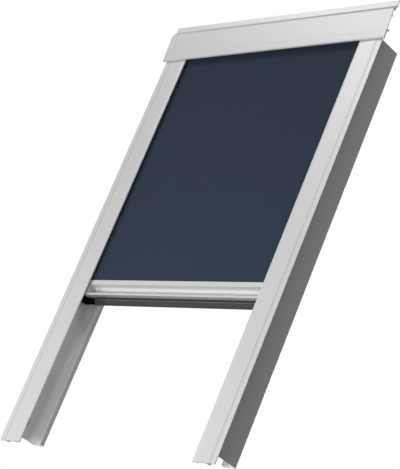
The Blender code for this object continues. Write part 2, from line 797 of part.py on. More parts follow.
def spring_end():
    end_plug("drive_end_plug", 1, DRIVE_PLUG_LENGTH, bush_seat(ARBOR_RADIUS))
    bush("drive_bush", 1, ARBOR_RADIUS)
    square_in = BRACKET_IN - GAP
    square_out = BRACKET_OUT + PIN_HEAD
    arbor_end = square_in - ARBOR_LENGTH
    rod = rod_profile((arbor_end, ARBOR_RADIUS), (square_in + 0.0005, ARBOR_RADIUS))
    arbor = turned("spring_arbor", rod, "X", roller_centre(), STEEL, SMALL_ROUND_STEPS * 2)
    half = ARBOR_SQUARE / 2
    y = (ROLLER_DEPTH - half, ROLLER_DEPTH + half)
    z = (ROLLER_HEIGHT - half, ROLLER_HEIGHT + half)
    square = box("spring_arbor_square", (square_in, square_out), y, z, GUIDE)
    combine(arbor, square, "UNION")
    anchor_end = arbor_end + ANCHOR_LENGTH
    profile = tube_profile(arbor_end, anchor_end, ARBOR_RADIUS + GAP, ANCHOR_RADIUS)
    turned("spring_anchor", profile, "X", roller_centre(), NYLON, SMALL_ROUND_STEPS * 2)
    torsion_spring(anchor_end, FABRIC_HALF - DRIVE_PLUG_LENGTH)


def torsion_spring(start, end):
    """A coil round the arbor, from the anchor's face to the drive plug's, one unbroken wire."""
    wire = SPRING_WIRE / 2
    low, high = start + GAP + wire * 1.2, end - GAP - wire * 1.2
    per_turn = 10
    count = SPRING_TURNS * per_turn
    curve = bpy.data.curves.new("torsion_spring", "CURVE")
    curve.dimensions = "3D"
    curve.bevel_depth = wire
    curve.bevel_resolution = 1
    curve.use_fill_caps = True
    spline = curve.splines.new("POLY")
    spline.points.add(count)
    for index, point in enumerate(spline.points):
        turn = 2 * math.pi * index / per_turn
        along = low + (high - low) * index / count
        point.co = (along, SPRING_RADIUS * math.cos(turn), SPRING_RADIUS * math.sin(turn), 1.0)
    curve.materials.append(STEEL)
    made = bpy.data.objects.new("torsion_spring", curve)
    centre = roller_centre()
    made.location = (centre[0], centre[1] + CENTRING, centre[2])
    bpy.context.scene.collection.objects.link(made)


# Fabric and bottom bar


def fabric_sheet():
    """From the roller's front down to the bar, then narrower inside the bar's slot."""
    tail_half = BAR_HALF - GAP
    top = ROLLER_HEIGHT
    bar_top = BAR_TOP_HEIGHT + GAP
    tail = BAR_TOP_HEIGHT - BAR_STRIP + BAR_POCKET_FLOOR + GAP
    outline = [
        (-FABRIC_HALF, top),
        (-FABRIC_HALF, bar_top),
        (-tail_half, bar_top),
        (-tail_half, tail),
        (tail_half, tail),
        (tail_half, bar_top),
        (FABRIC_HALF, bar_top),
        (FABRIC_HALF, top),
    ]
    extrude("fabric_sheet", outline, "Y", FABRIC_FRONT, FABRIC_BACK, FABRIC)


def bar_back_path():
    """The room side of the bar's back wall, from under the top box down to the foot."""
    knots = [
        (BAR_FRONT + BAR_TOP_DEPTH - BAR_WALL, -BAR_STRIP),
        (BAR_FRONT + BAR_BACK_ROOF, -BAR_ROOF_DROP),
        (BAR_FRONT + BAR_BACK_WAIST, -BAR_WAIST_DROP),
        (BAR_FRONT + BAR_BACK_KNEE, -BAR_KNEE_DROP),
        (BAR_FRONT + BAR_BACK_FOOT, -BAR_FOOT_DROP),
    ]
    return smooth_path(knots)


def bar_rear_path():
    """The glass side of the same wall, from where it leaves the back of the top box."""
    top_back = BAR_FRONT + BAR_TOP_DEPTH
    rear = offset_path(bar_back_path(), -BAR_WALL)
    for high, low in zip(rear, rear[1:]):
        if high.x <= top_back < low.x:
            start = high.lerp(low, (top_back - high.x) / (low.x - high.x))
    return [start] + [point for point in rear if point.x > top_back]


def path_depth(path, height):
    """Where the path is at a height, counted from the bar's top."""
    for high, low in zip(path, path[1:]):
        if low.y <= height <= high.y:
            share = (high.y - height) / (high.y - low.y)
            return high.x + (low.x - high.x) * share
    return path[-1].x


def path_between(path, high, low):
    """The stretch of the path between two heights, with an end point at each."""
    inside = [point for point in path if low < point.y < high]
    top = Vector((path_depth(path, high), high))
    bottom = Vector((path_depth(path, low), low))
    return [top, *inside, bottom]


def pocket():
    """The bar's fabric pocket: front and back depth, then roof and floor height."""
    front = FABRIC_FRONT - RUNNING_GAP
    return front, front + BAR_POCKET_DEPTH, -BAR_POCKET_ROOF, -(BAR_STRIP - BAR_POCKET_FLOOR)


def web_underside():
    """The underside of the web that carries the lip, from the lip's ledge back to the back wall."""
    low = -(BAR_LIP_TOP - BAR_WALL) - BAR_WALL * 1.1
    ledge = Vector((BAR_FRONT + BAR_LEDGE_DEPTH, -BAR_BOTTOM))
    return [ledge, Vector((path_depth(bar_back_path(), low), low))]


def at_bar(outline):
    return [(point[0], point[1] + BAR_TOP_HEIGHT, *point[2:]) for point in outline]


def bottom_bar():
    front, back, roof, floor = pocket()
    face = bar_back_path()
    top_back = BAR_FRONT + BAR_TOP_DEPTH
    web_top = -(BAR_BOTTOM - BAR_WALL)
    meet_high = -(BAR_LIP_TOP - BAR_WALL)
    meet_low = web_underside()[1].y
    lip_back = BAR_FRONT + BAR_LIP_WALL
    ledge = web_underside()[0].x
    hidden_front = path_between(face, meet_low, face[-1].y)
    seen_front = path_between(face, -BAR_STRIP, meet_high)
    corners = [
        (BAR_FRONT, 0.0, BAR_CORNER),
        (front, 0.0),
        (front, floor),
        (back, floor),
        (back, roof),
        (front + BAR_SLOT, roof),
        (front + BAR_SLOT, 0.0),
        (top_back, 0.0, BAR_CORNER),
    ]
    corners += [tuple(point) for point in bar_rear_path()]
    corners += [tuple(point) for point in reversed(hidden_front)]
    corners += [
        (ledge, -BAR_BOTTOM, BAR_CORNER),
        (BAR_FRONT, -BAR_BOTTOM, BAR_LIP_ROUND),
        (BAR_FRONT, -BAR_LIP_TOP, BAR_LIP_WALL * 0.4),
        (lip_back, -BAR_LIP_TOP, BAR_LIP_WALL * 0.4),
        (lip_back, web_top, BAR_CORNER * 2),
        (ledge, web_top),
    ]
    corners += [tuple(point) for point in reversed(seen_front)]
    corners.append((BAR_FRONT, -BAR_STRIP, BAR_CORNER))
    outline = rounded(at_bar(corners))
    extrude("bottom_bar", outline, "X", -BAR_HALF, BAR_HALF, ALUMINIUM)


def fabric_spline():
    front, back, roof, floor = pocket()
    front = FABRIC_BACK + GAP
    back -= RUNNING_GAP
    low = floor + RUNNING_GAP
    high = min(low + SPLINE_HEIGHT, roof - RUNNING_GAP)
    corner = SPLINE_HEIGHT * 0.2
    outline = rounded(
        at_bar(
            [
                (front, low, corner),
                (back, low, corner),
                (back, high, corner),
                (front, high, corner),
            ]
        ),
        steps=3,
    )
    half = BAR_HALF - CAP_PEG - GAP
    extrude("fabric_spline", outline, "X", -half, half, NYLON)


def bar_seal():
    """A strip along the room side of the bar's foot, under the lip."""
    face = path_between(bar_back_path(), -BAR_SEAL_START, -BAR_FOOT_DROP + 0.0004)
    near = offset_path(face, GAP)
    far = offset_path(face, GAP + BAR_SEAL)
    outline = at_bar([tuple(point) for point in near] + [tuple(point) for point in reversed(far)])
    extrude("bar_seal", outline, "X", -BAR_HALF, BAR_HALF, RUBBER)


def bar_foam():
    """A black foam strip under the web, which stops light between the bar and the sill."""
    ledge, wall = web_underside()
    path = [ledge.lerp(wall, 0.04), ledge.lerp(wall, 0.96)]
    near = offset_path(path, GAP)
    far = offset_path(path, GAP + BAR_FOAM)
    outline = at_bar([tuple(point) for point in near] + [tuple(point) for point in reversed(far)])
    extrude("bar_foam", outline, "X", -BAR_HALF, BAR_HALF, RUBBER)


def end_boundary():
    """Where the end cap stops and the shoe's toe begins: the web's underside, then the back wall."""
    ledge, wall = web_underside()
    return [ledge, wall, Vector((path_depth(bar_rear_path(), wall.y), wall.y))]


def bar_end_cap(side_name, side):
    boundary = end_boundary()
    rear = [point for point in bar_rear_path() if point.y > boundary[2].y]
    corners = [(BAR_FRONT, 0.0, BAR_CORNER), (BAR_FRONT + BAR_TOP_DEPTH, 0.0, BAR_CORNER)]
    corners += [tuple(point) for point in rear]
    corners += [tuple(point) for point in reversed(boundary)]
    corners.append((BAR_FRONT, -BAR_BOTTOM, BAR_LIP_ROUND))
    name = side_name + "_bar_end_cap"
    cap = extrude(name, rounded(at_bar(corners)), "X", *span(side, CAP_IN, CAP_OUT), GREY_PLASTIC)
    peg_front, peg_back, peg_low, peg_high = peg_section()
    x = span(side, BAR_HALF - CAP_PEG, CAP_IN + CAP_THICKNESS / 2)
    peg = box(name + "_peg", x, (peg_front, peg_back), (peg_low, peg_high), GUIDE)
    combine(cap, peg, "UNION")
    ends = span(side, BAR_HALF - CAP_PEG - 0.001, CAP_OUT + 0.001)
    drill(cap, "X", shoe_screw_centre(), *ends, SCREW_RADIUS * 0.8 + GAP)


def peg_section():
    front, back, roof, floor = pocket()
    low = BAR_TOP_HEIGHT + floor + RUNNING_GAP
    high = BAR_TOP_HEIGHT + roof - RUNNING_GAP
    return FABRIC_BACK + RUNNING_GAP, back - RUNNING_GAP, low, high


def shoe_screw_centre():
    front, back, low, high = peg_section()
    return (0.0, (front + back) / 2, (low + high) / 2)


def guide_shoe(side_name, side):
    """A nylon block that slides in the rail channel, with an arm back to the channel's lip.

    A notch in its front top corner leaves a flange against the end cap for the screw's head,
    and a toe reaches under the end cap to the bar's foot.
    """
    name = side_name + "_guide_shoe"
    top = BAR_TOP_HEIGHT - SHOE_TOP_DROP
    arm_back = LIP_FACE - RUNNING_GAP
    arm_low = top - SHOE_ARM_HEIGHT
    outline = rounded(
        [
            (SHOE_FRONT, SHOE_LOW, 0.0010),
            (SHOE_FRONT, top, 0.0010),
            (arm_back, top, 0.0010),
            (arm_back, arm_low, 0.0010),
            (SHOE_BACK, arm_low, 0.0010),
            (SHOE_BACK, SHOE_LOW, 0.0010),
        ]
    )
    shoe = extrude(name, outline, "X", *span(side, SHOE_IN, SHOE_OUT), NYLON)
    combine(shoe, shoe_toe(name, side), "UNION")
    clear_of_lip = LIP_IN + CHANNEL_WALL + 5 * RUNNING_GAP
    x = span(side, SHOE_IN - 0.001, clear_of_lip)
    y = (SHOE_BACK, arm_back + 0.001)
    notch = box(name + "_notch", x, y, (arm_low - 0.001, top + 0.001), GUIDE)
    combine(shoe, notch, "DIFFERENCE")
    room = GAP
    x = span(side, SHOE_OUT - PAD_POCKET, SHOE_OUT + 0.001)
    y = (PAD_FRONT - room, PAD_FRONT + PAD_SIZE + room)
    high = BAR_TOP_HEIGHT - PAD_DROP + room
    pocket_tool = box(name + "_pocket", x, y, (high - PAD_SIZE - 2 * room, high), GUIDE)
    combine(shoe, pocket_tool, "DIFFERENCE")
    floor = SHOE_OUT - PAD_POCKET
    centre = shoe_screw_centre()
    ends = span(side, SHOE_IN - 0.001, SHOE_OUT + 0.001)
    drill(shoe, "X", centre, *ends, SCREW_RADIUS * 0.8 + GAP)
    seat = SHOE_IN + SHOE_WIDTH * 0.4
    x = span(side, seat, SHOE_OUT + 0.001)
    y = (SHOE_FRONT - 0.001, centre[1] + SCREW_HEAD_RADIUS + GAP)
    z = (centre[2] - SCREW_HEAD_RADIUS - GAP, top + 0.001)
    combine(shoe, box(name + "_screw_room", x, y, z, GUIDE), "DIFFERENCE")
    ends = (side * (seat + GAP), side * (BAR_HALF - CAP_PEG + 0.001))
    screw(side_name + "_shoe_screw", "X", centre, *ends, SCREW_RADIUS * 0.8)
    friction_pad(side_name, side)
    pad_spring(side_name, side, floor)


def shoe_toe(name, side):
    top = offset_path(end_boundary(), GAP)
    low = -BAR_FOOT_DROP
    outline = [*top, (top[-1].x, low), (top[0].x, low)]
    ends = span(side, BAR_HALF + GAP, SHOE_IN + 0.0020)
    return extrude(name + "_toe", at_bar(outline), "X", *ends, GUIDE)


def friction_pad(side_name, side):
    x = span(side, PAD_IN, PAD_OUT)
    y = (PAD_FRONT, PAD_FRONT + PAD_SIZE)
    high = BAR_TOP_HEIGHT - PAD_DROP
    box(side_name + "_friction_pad", x, y, (high - PAD_SIZE, high), PILE)


def pad_spring(side_name, side, floor):
    """A bowed leaf between the pocket's floor and the pad's back."""
    middle = BAR_TOP_HEIGHT - PAD_DROP - PAD_SIZE / 2
    reach = PAD_SIZE * 0.43
    low = floor + GAP
    high = PAD_IN - GAP - PAD_SPRING_THICKNESS
    steps = 8
    path = []
    for step in range(steps + 1):
        share = 2 * step / steps - 1
        path.append((low + (high - low) * (1 - share**2), middle + reach * share))
    inner = [Vector(point) for point in path]
    outer = offset_path(path, PAD_SPRING_THICKNESS)
    outline = [tuple(point) for point in inner] + [tuple(point) for point in reversed(outer)]
    centre = PAD_FRONT + PAD_SIZE / 2
    half = PAD_SPRING_WIDTH / 2
    y = (centre - half, centre + half)
    extrude(side_name + "_pad_spring", mirrored(outline, side), "Y", *y, STEEL)


clear_scene()
ALUMINIUM = finish("anodised_aluminium", (0.78, 0.78, 0.78), 0.38, 0.6)
GREY_PLASTIC = finish("grey_plastic", (0.42, 0.42, 0.43), 0.5)
NYLON = finish("black_nylon", (0.03, 0.03, 0.03), 0.45)
RUBBER = finish("dark_rubber", (0.05, 0.05, 0.05), 0.8)
PILE = finish("pile", (0.16, 0.16, 0.17), 0.95)
FOAM = finish("foam_tape", (0.30, 0.30, 0.30), 0.9)
STEEL = finish("bright_steel", (0.62, 0.62, 0.64), 0.3, 1.0)
ZINC = finish("zinc_plated_steel", (0.55, 0.56, 0.58), 0.42, 1.0)
BRONZE = finish("bronze", (0.55, 0.36, 0.18), 0.35, 1.0)
FABRIC = finish("blackout_fabric", (0.032, 0.045, 0.074), 0.85)
GUIDE = finish("guide", (1.0, 0.3, 0.0), 0.5)

headrail_cover()
headrail_casing()
roller()
idle_end()
spring_end()
fabric_sheet()
bottom_bar()
fabric_spline()
bar_seal()
bar_foam()
for part_side, sign in SIDES:
    rail_cover(part_side, sign)
    rail_channel(part_side, sign)
    rail_seal(part_side, sign)
    rail_tape(part_side, sign)
    top_connector(part_side, sign)
    end_stop(part_side, sign)
    roller_bracket(part_side, sign)
    mounting_plate(part_side, sign)
    bar_end_cap(part_side, sign)
    guide_shoe(part_side, sign)
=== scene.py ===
"""Looks of a blackout blind for a roof window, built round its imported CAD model.

Everything is in metres and in the CAD model's own frame: X across the blind, -Y towards the room,
+Z up along the side rails. Each operator finishes one group of pieces, and the last sets the stage.
"""

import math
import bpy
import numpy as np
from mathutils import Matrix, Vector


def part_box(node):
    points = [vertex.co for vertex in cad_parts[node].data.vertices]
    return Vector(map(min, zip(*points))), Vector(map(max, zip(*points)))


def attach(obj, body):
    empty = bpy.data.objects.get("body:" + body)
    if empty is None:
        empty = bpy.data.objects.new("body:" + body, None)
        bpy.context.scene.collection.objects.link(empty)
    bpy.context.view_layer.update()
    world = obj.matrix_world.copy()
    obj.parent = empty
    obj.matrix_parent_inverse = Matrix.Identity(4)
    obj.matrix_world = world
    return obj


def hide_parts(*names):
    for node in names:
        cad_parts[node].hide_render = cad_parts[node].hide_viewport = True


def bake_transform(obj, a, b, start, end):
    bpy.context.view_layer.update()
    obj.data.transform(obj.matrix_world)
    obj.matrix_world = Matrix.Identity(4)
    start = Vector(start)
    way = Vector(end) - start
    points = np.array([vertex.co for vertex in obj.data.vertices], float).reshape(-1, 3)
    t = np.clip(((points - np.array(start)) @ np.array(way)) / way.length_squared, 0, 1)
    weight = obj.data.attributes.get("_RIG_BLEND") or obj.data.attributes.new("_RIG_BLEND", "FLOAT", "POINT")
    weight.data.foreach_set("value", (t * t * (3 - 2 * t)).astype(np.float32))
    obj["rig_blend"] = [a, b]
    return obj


bl_info = {
    "name": "Roof Window Blind Looks",
    "version": (1, 0, 0),
    "blender": (4, 5, 0),
    "location": "3D View > Sidebar > Blind",
    "description": "Finishes the pieces of a roof window blackout blind and lights them",
    "category": "Object",
}

import bmesh
import bpy
from bpy.props import FloatProperty, FloatVectorProperty, IntProperty, PointerProperty
from mathutils import Matrix, Vector

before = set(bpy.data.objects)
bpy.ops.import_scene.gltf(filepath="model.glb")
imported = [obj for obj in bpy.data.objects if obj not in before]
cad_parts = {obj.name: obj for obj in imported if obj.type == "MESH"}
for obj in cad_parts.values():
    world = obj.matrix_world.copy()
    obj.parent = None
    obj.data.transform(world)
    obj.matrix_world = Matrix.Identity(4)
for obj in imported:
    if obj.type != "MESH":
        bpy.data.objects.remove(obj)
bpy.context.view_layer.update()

MM = 0.001
SIDES = ("left", "right")
ALUMINIUM_SLOT = "anodised_aluminium"

# How a copy of a CAD mesh is made whole: the gap that closes, and which edges are flat or sharp
MERGE_DISTANCE = 0.000002
FLAT_ANGLE = math.radians(0.6)
SHARP_ANGLE = math.radians(32)

# The kind of each node tree's socket that isn't a plain number
SOCKET_KINDS = {
    "Geometry": "Geometry",
    "Material": "Material",
    "Seed": "Int",
    "Place": "Vector",
    "Draw": "Vector",
    "Colour": "Color",
}

# How much finer the drawn lines are across an extrusion than along it, for each way it lies
UPRIGHT = (2600.0, 2600.0, 3.0)
LEVEL = (3.0, 2600.0, 2600.0)

# Where the painted shade and painted light on the extrusions change, as the start and end of each blend in
# metres
GROOVE_INNER_SIDE = (0.2185, 0.2210)
GROOVE_OUTER_SIDE = (0.2220, 0.2242)
CHANNEL_OUTSIDE = (0.2163, 0.2171)
CHANNEL_LIP_EDGE = (0.1953, 0.1962)
RECESS_FRONT = (-0.0172, -0.0166)
RECESS_FLOOR = (0.2585, 0.2590)
RECESS_ROOF = (0.2717, 0.2722)
BAR_UNDERSIDE = (0.2580, 0.2586)

# How far a face is turned where the painted light and shade on it change, as shares of its outward direction
TURNED_ENDWAYS = (0.4, 0.8)
TURNED_SIDEWAYS = (0.3, 0.8)
TURNED_TO_GLASS = (0.2, 0.5)
TURNED_DOWN = (-0.5, -0.1)
TURNED_STRAIGHT_DOWN = (-0.99, -0.93)
# The share of the recess's painted light that its roof gets, as it faces down
RECESS_ROOF_LIGHT_SHARE = 0.7

# The extrusions' satin, and how much their drawn lines change it
SATIN_ROUGHNESS = 0.36
SATIN_METALLIC = 0.12
LINE_DEPTH = 0.01 * MM
LINE_CONTRAST = 0.015
LINE_DRIFT = 0.008
LINE_ROUGHNESS = 0.04
GRAIN_ROUGHNESS = 0.12
BUMP_STRENGTH = 0.6

# The cloth: its gloss, its thick and thin threads, and how much each changes its colour
CLOTH_GLOSS = 0.2
SLUBS = (26.0, 26.0, 900.0)
SLUB_CONTRAST = 0.035
BANDS = (5.0, 5.0, 140.0)
BAND_CONTRAST = 0.015
THREAD_CONTRAST = 0.05

# Finish: the setting with its colour, its roughness, the fineness and contrast of its grain,
# the depth of its bump in millimetres, how metallic it is and its gloss
GRAINED_FINISHES = {
    "black_nylon": ("nylon", 0.42, 1800.0, 0.35, 0.02, 0.0, 0.5),
    # painted shade: the shoes' nylon is near black and without gloss, standing for the deep shade at the
    # bar's ends
    "matt_nylon": ("shoe", 0.9, 1800.0, 0.35, 0.02, 0.0, 0.0),
    "grey_plastic": ("end_cap", 0.45, 1500.0, 0.10, 0.02, 0.0, 0.5),
    "dark_rubber": ("rubber", 0.7, 2200.0, 0.4, 0.03, 0.0, 0.3),
    "grey_rubber": ("stop", 0.7, 2200.0, 0.4, 0.03, 0.0, 0.5),
    "black_foam": ("nylon", 0.95, 2600.0, 0.5, 0.05, 0.0, 0.5),
    "brush_pile": ("pile", 0.9, 2500.0, 0.7, 0.05, 0.0, 0.5),
    "foam_tape": ("tape", 0.92, 1400.0, 0.5, 0.15, 0.0, 0.5),
    "bright_steel": ("steel", 0.28, 900.0, 0.08, 0.005, 1.0, 0.5),
    "zinc_plate": ("zinc", 0.40, 420.0, 0.22, 0.01, 1.0, 0.5),
    "bronze": ("bronze", 0.38, 1500.0, 0.25, 0.02, 1.0, 0.5),
}

# Finish: the setting with its colour, its roughness and the depth of its bump in millimetres
CLOTH_FINISHES = {
    "cloth": ("cloth", 0.92, 0.08),
    "cloth_coating": ("coating", 0.6, 0.02),
}

# Screws: sizes in metres, the dome and cross as shares of the head, the shank as shares of itself
HEAD_RADIUS = 0.0026
HEAD_HEIGHT = 0.0016
HEAD_SIDES = 24
HEAD_RINGS = 6
DOME_START = 0.3
DOME_POWER = 2.2
DOME_TAPER = 0.34
CROSS_WIDTH = 0.0007
CROSS_LENGTH = 1.15
CROSS_HEIGHT = 1.3
SCREW_RADIUS = 0.0013
SHOE_SCREW_RADIUS = 0.00104
SHANK_SIDES = 12
SHANK_RINGS = 84
SHANK_DROP = 0.485
THREAD_DEPTH = 0.00028
TIP_LENGTH = 1.6
TIP_TAPER = 0.6
SCREW_SHARP_ANGLE = math.radians(40)

# Torsion spring
SPRING_WIRE_RADIUS = 0.6 * MM
SPRING_SHARP_ANGLE = math.radians(60)

# Brushes: their backings, and their core and strands as shares of the pile, strand or pitch
SEAL_BACKING = 0.8 * MM
SEAL_PILE_WIDTH = 0.64
SEAL_SEED = 11
PAD_BACKING = 1.0 * MM
PAD_SEED = 31
CORE_FOOT = 0.9
CORE_HEIGHT = 0.6
CORE_WIDTH = 0.9
STRAND_FOOT = 0.3
STRAND_HEIGHT = 0.66
STRAND_ROOT = 0.55
STRAND_TIP = 0.12
STRAND_SHIFT = Vector((0.3, 0.12, 0.3))
STRAND_LEAN_DEGREES = 10

# Cloth: its room in the bar, and the turns on the roller with the steps that draw them
BAR_ROOM = 0.3 * MM
TAIL_COLUMNS = 24
TURN_PITCH = 0.3 * MM
TURNS_OPEN = 0.02
TURN_STEPS = 72
ROLL_COLUMNS = 8

# Stage
CAMERA_PLACE = (2.03038, -1.67686, -0.63325)
CAMERA_RIGHT = (0.69156, 0.62617, 0.36008)
CAMERA_UP = (0.00854, -0.50556, 0.86275)
CAMERA_BACK = (0.72227, -0.59357, -0.35497)
CAMERA_LENS = 144.77
SENSOR_WIDTH = 36.0
CAMERA_CLIP = (0.05, 50.0)
FLOOR_REACH = 6.0
FLOOR_TONES = (0.90, 0.92)
FLOOR_ROUGHNESS = 0.8
FLOOR_PALENESS = 0.8

# Softbox, its place, the point that it faces, its width and height, and its power in watts
SOFTBOXES = [
    ("low_right", (1.034, -1.79, -0.402), (0.0, 0.0, 0.35), 0.6, 0.6, 6.1),
    ("low_middle", (0.2, -0.9, -0.45), (-0.1, 0.0, 0.2), 0.3, 0.3, 6.9),
    ("low_left", (-0.9, -1.0, -0.5), (-0.1, 0.0, 0.2), 0.3, 0.3, 6.5),
    ("high_right", (1.381, -1.158, 1.612), (0.0, 0.0, 0.35), 0.6, 0.6, 6.7),
    ("high_left", (-1.381, -1.158, 1.612), (0.0, 0.0, 0.35), 0.6, 0.6, 0.8),
    ("top_left", (-1.281, -1.135, 1.847), (0.0, 0.0, 0.35), 0.45, 0.45, 4.8),
    ("far_left", (-2.053, -1.092, 0.738), (0.0, 0.0, 0.35), 0.45, 0.45, 0.6),
    ("front_high", (-0.714, -1.335, 1.399), (0.0, 0.0, 0.35), 0.45, 0.45, 2.9),
    ("rear", (-1.4, 2.1, 1.1), (0.0, 0.0, 0.35), 1.2, 1.2, 30.0),
]

# Node, material slot, finish, body and the width of its broken edges in millimetres
RAIL_PIECES = [
    ("rail_cover", ALUMINIUM_SLOT, "upright_aluminium", "root", 0.12),
    ("rail_channel", ALUMINIUM_SLOT, "channel_aluminium", "root", 0.12),
    ("rail_tape", "foam_tape", "foam_tape", "root", 0.25),
    ("top_connector", "black_nylon", "black_nylon", "root", 0.25),
    ("end_stop", "dark_rubber", "grey_rubber", "root", 0.5),
]
HEADRAIL_PIECES = [
    ("headrail_cover", ALUMINIUM_SLOT, "level_aluminium", "root", 0.12),
    ("headrail_casing", ALUMINIUM_SLOT, "level_aluminium", "root", 0.12),
    ("left_roller_bracket", "zinc_plated_steel", "zinc_plate", "root", 0.2),
    ("right_roller_bracket", "zinc_plated_steel", "zinc_plate", "root", 0.2),
    ("left_mounting_plate", "zinc_plated_steel", "zinc_plate", "root", 0.2),
    ("right_mounting_plate", "zinc_plated_steel", "zinc_plate", "root", 0.2),
]
ROLLER_PIECES = [
    ("roller_tube", ALUMINIUM_SLOT, "level_aluminium", "roller", 0.1),
    ("idle_end_plug", "black_nylon", "black_nylon", "roller", 0.2),
    ("drive_end_plug", "black_nylon", "black_nylon", "roller", 0.2),
    ("idle_bush", "bronze", "bronze", "roller", 0.15),
    ("drive_bush", "bronze", "bronze", "roller", 0.15),
    ("idle_pin", "bright_steel", "bright_steel", "root", 0.2),
    ("spring_arbor", "bright_steel", "bright_steel", "root", 0.2),
    ("spring_anchor", "black_nylon", "black_nylon", "root", 0.25),
]
BAR_PIECES = [
    ("bottom_bar", ALUMINIUM_SLOT, "bar_aluminium", "bar", 0.12),
    ("fabric_spline", "black_nylon", "black_nylon", "bar", 0.15),
    ("bar_seal", "dark_rubber", "dark_rubber", "bar", 0.15),
    ("bar_foam", "dark_rubber", "black_foam", "bar", 0.1),
]
BAR_END_PIECES = [
    ("bar_end_cap", "grey_plastic", "grey_plastic", "bar", 0.2),
    ("guide_shoe", "black_nylon", "matt_nylon", "bar", 0.35),
    ("pad_spring", "bright_steel", "bright_steel", "bar", 0.08),
]

# Screws and the axis that they lie along: heads face outward on X, and are at the high end on
# Y and Z
ROOT_SCREWS = [
    ("bracket_screw", 2),
    ("inner_plate_screw", 2),
    ("outer_plate_screw", 2),
    ("connector_screw", 0),
    ("stop_screw", 1),
]
BAR_SCREWS = [("shoe_screw", 0)]


# Settings


def colour_setting(name, description, default):
    return FloatVectorProperty(
        name=name, description=description, subtype="COLOR", min=0.0, max=1.0, default=default
    )


def length_setting(name, description, default, **limits):
    return FloatProperty(
        name=name,
        description=description,
        unit="LENGTH",
        subtype="DISTANCE",
        default=default,
        **limits,
    )


class BlindColours(bpy.types.PropertyGroup):
    """Colours of the blind's finishes, and of the painted light and shade on some of its faces, as linear
    values.
    """

    aluminium: colour_setting(
        "Aluminium", "Colour of the satin anodised rails, headrail and bar", (0.62, 0.62, 0.622)
    )
    # painted shade: the groove along each rail's front gets a darker colour, standing for the shade in it
    groove: colour_setting(
        "Rail grooves", "Colour of the groove along each rail's front", (0.50, 0.50, 0.502)
    )
    # painted shade: the rails' end faces get a much darker colour, standing for the shade on them
    shadowed: colour_setting(
        "Sawn ends", "Colour of the sawn ends of the rails' covers", (0.25, 0.25, 0.252)
    )
    # painted light: the side walls inside each channel get a much lighter colour than the aluminium,
    # standing for light that reaches into them
    channel: colour_setting(
        "Channels", "Colour of the side walls inside the rails' channels", (0.91, 0.91, 0.912)
    )
    # painted light: the back wall inside each channel is a little lighter than the aluminium
    channel_back_light: colour_setting(
        "Channel backs",
        "Colour of the back wall inside the rails' channels",
        (0.68, 0.68, 0.682),
    )
    # painted shade: the channels' flanges and lips get a darker, bluer colour, standing for the shade on
    # them
    outside_shade: colour_setting(
        "Channels outside",
        "Colour of the channels' flanges and lips, which are duller and bluer",
        (0.416, 0.426, 0.446),
    )
    # painted light: the inside of the bar's finger recess gets a lighter colour, standing for the light that
    # the lip and roof keep out
    recess: colour_setting(
        "Bar recess", "Colour of the inside of the bar's finger recess", (0.87, 0.87, 0.872)
    )
    # painted shade: the underside of the bar's lip gets a dark colour, standing for the shade there
    underside: colour_setting(
        "Bar underside", "Colour of the underside of the bar's lip", (0.22, 0.22, 0.222)
    )
    cloth: colour_setting("Cloth", "Colour of the cloth's room side", (0.0275, 0.0405, 0.0680))
    coating: colour_setting(
        "Coating",
        "Colour of the light-tight coating on the cloth's glass side",
        (0.55, 0.56, 0.58),
    )
    # painted shade: near black, standing for the deep shade at the bar's ends
    shoe: colour_setting(
        "Shoes", "Colour of the dull nylon of the guide shoes", (0.004, 0.004, 0.0042)
    )
    nylon: colour_setting(
        "Nylon", "Colour of the plugs, spline, connectors and foam", (0.012, 0.012, 0.0125)
    )
    end_cap: colour_setting("End caps", "Colour of the bar's end caps", (0.40, 0.405, 0.41))
    rubber: colour_setting("Rubber", "Colour of the bar's seal", (0.044, 0.044, 0.0445))
    stop: colour_setting(
        "End stops", "Colour of the end stops' grey rubber", (0.50, 0.50, 0.505)
    )
    pile: colour_setting(
        "Brush pile",
        "Colour of the rails' brush seals and the friction pads",
        (0.10, 0.10, 0.105),
    )
    tape: colour_setting(
        "Foam tape", "Colour of the foam tape behind the rails", (0.30, 0.30, 0.30)
    )
    steel: colour_setting(
        "Bright steel", "Colour of the screws, springs, pin and arbor", (0.60, 0.60, 0.62)
    )
    zinc: colour_setting(
        "Zinc plate", "Colour of the brackets and mounting plates", (0.56, 0.57, 0.59)
    )
    bronze: colour_setting("Bronze", "Colour of the roller's bushes", (0.52, 0.34, 0.17))


class BlindSizes(bpy.types.PropertyGroup):
    """Sizes of the details that the CAD model leaves out."""

    weave: length_setting(
        "Weave", "Distance between two threads of the cloth", 0.00042, min=0.0001
    )
    cloth_thickness: length_setting(
        "Wound cloth thickness",
        "Thickness of the cloth on the roller, a little under the pitch of its turns",
        0.00027,
        min=0.0001,
    )
    strand: length_setting(
        "Strand width",
        "Width of one strand of the brush pile at its root",
        0.00055,
        min=0.0001,
    )
    strand_pitch: length_setting(
        "Strand pitch",
        "Distance between two strands of the brush pile",
        0.0008,
        min=0.0002,
    )
    thread_pitch: length_setting(
        "Thread pitch", "Distance between two threads of a screw", 0.0010, min=0.0003
    )
    spring_turns: IntProperty(
        name="Spring turns",
        description="Turns of the torsion spring inside the roller",
        min=10,
        max=120,
        default=64,
    )


class BlindStage(bpy.types.PropertyGroup):
    """Levels and places of the stage."""

    floor_height: length_setting(
        "Floor height", "Height of the floor under the blind, below the camera", -1.3
    )
    ambient: FloatProperty(
        name="Ambient light",
        description="Level of the light that comes from all round",
        min=0.0,
        max=1.0,
        subtype="FACTOR",
        default=0.0,
    )


# Shader nodes


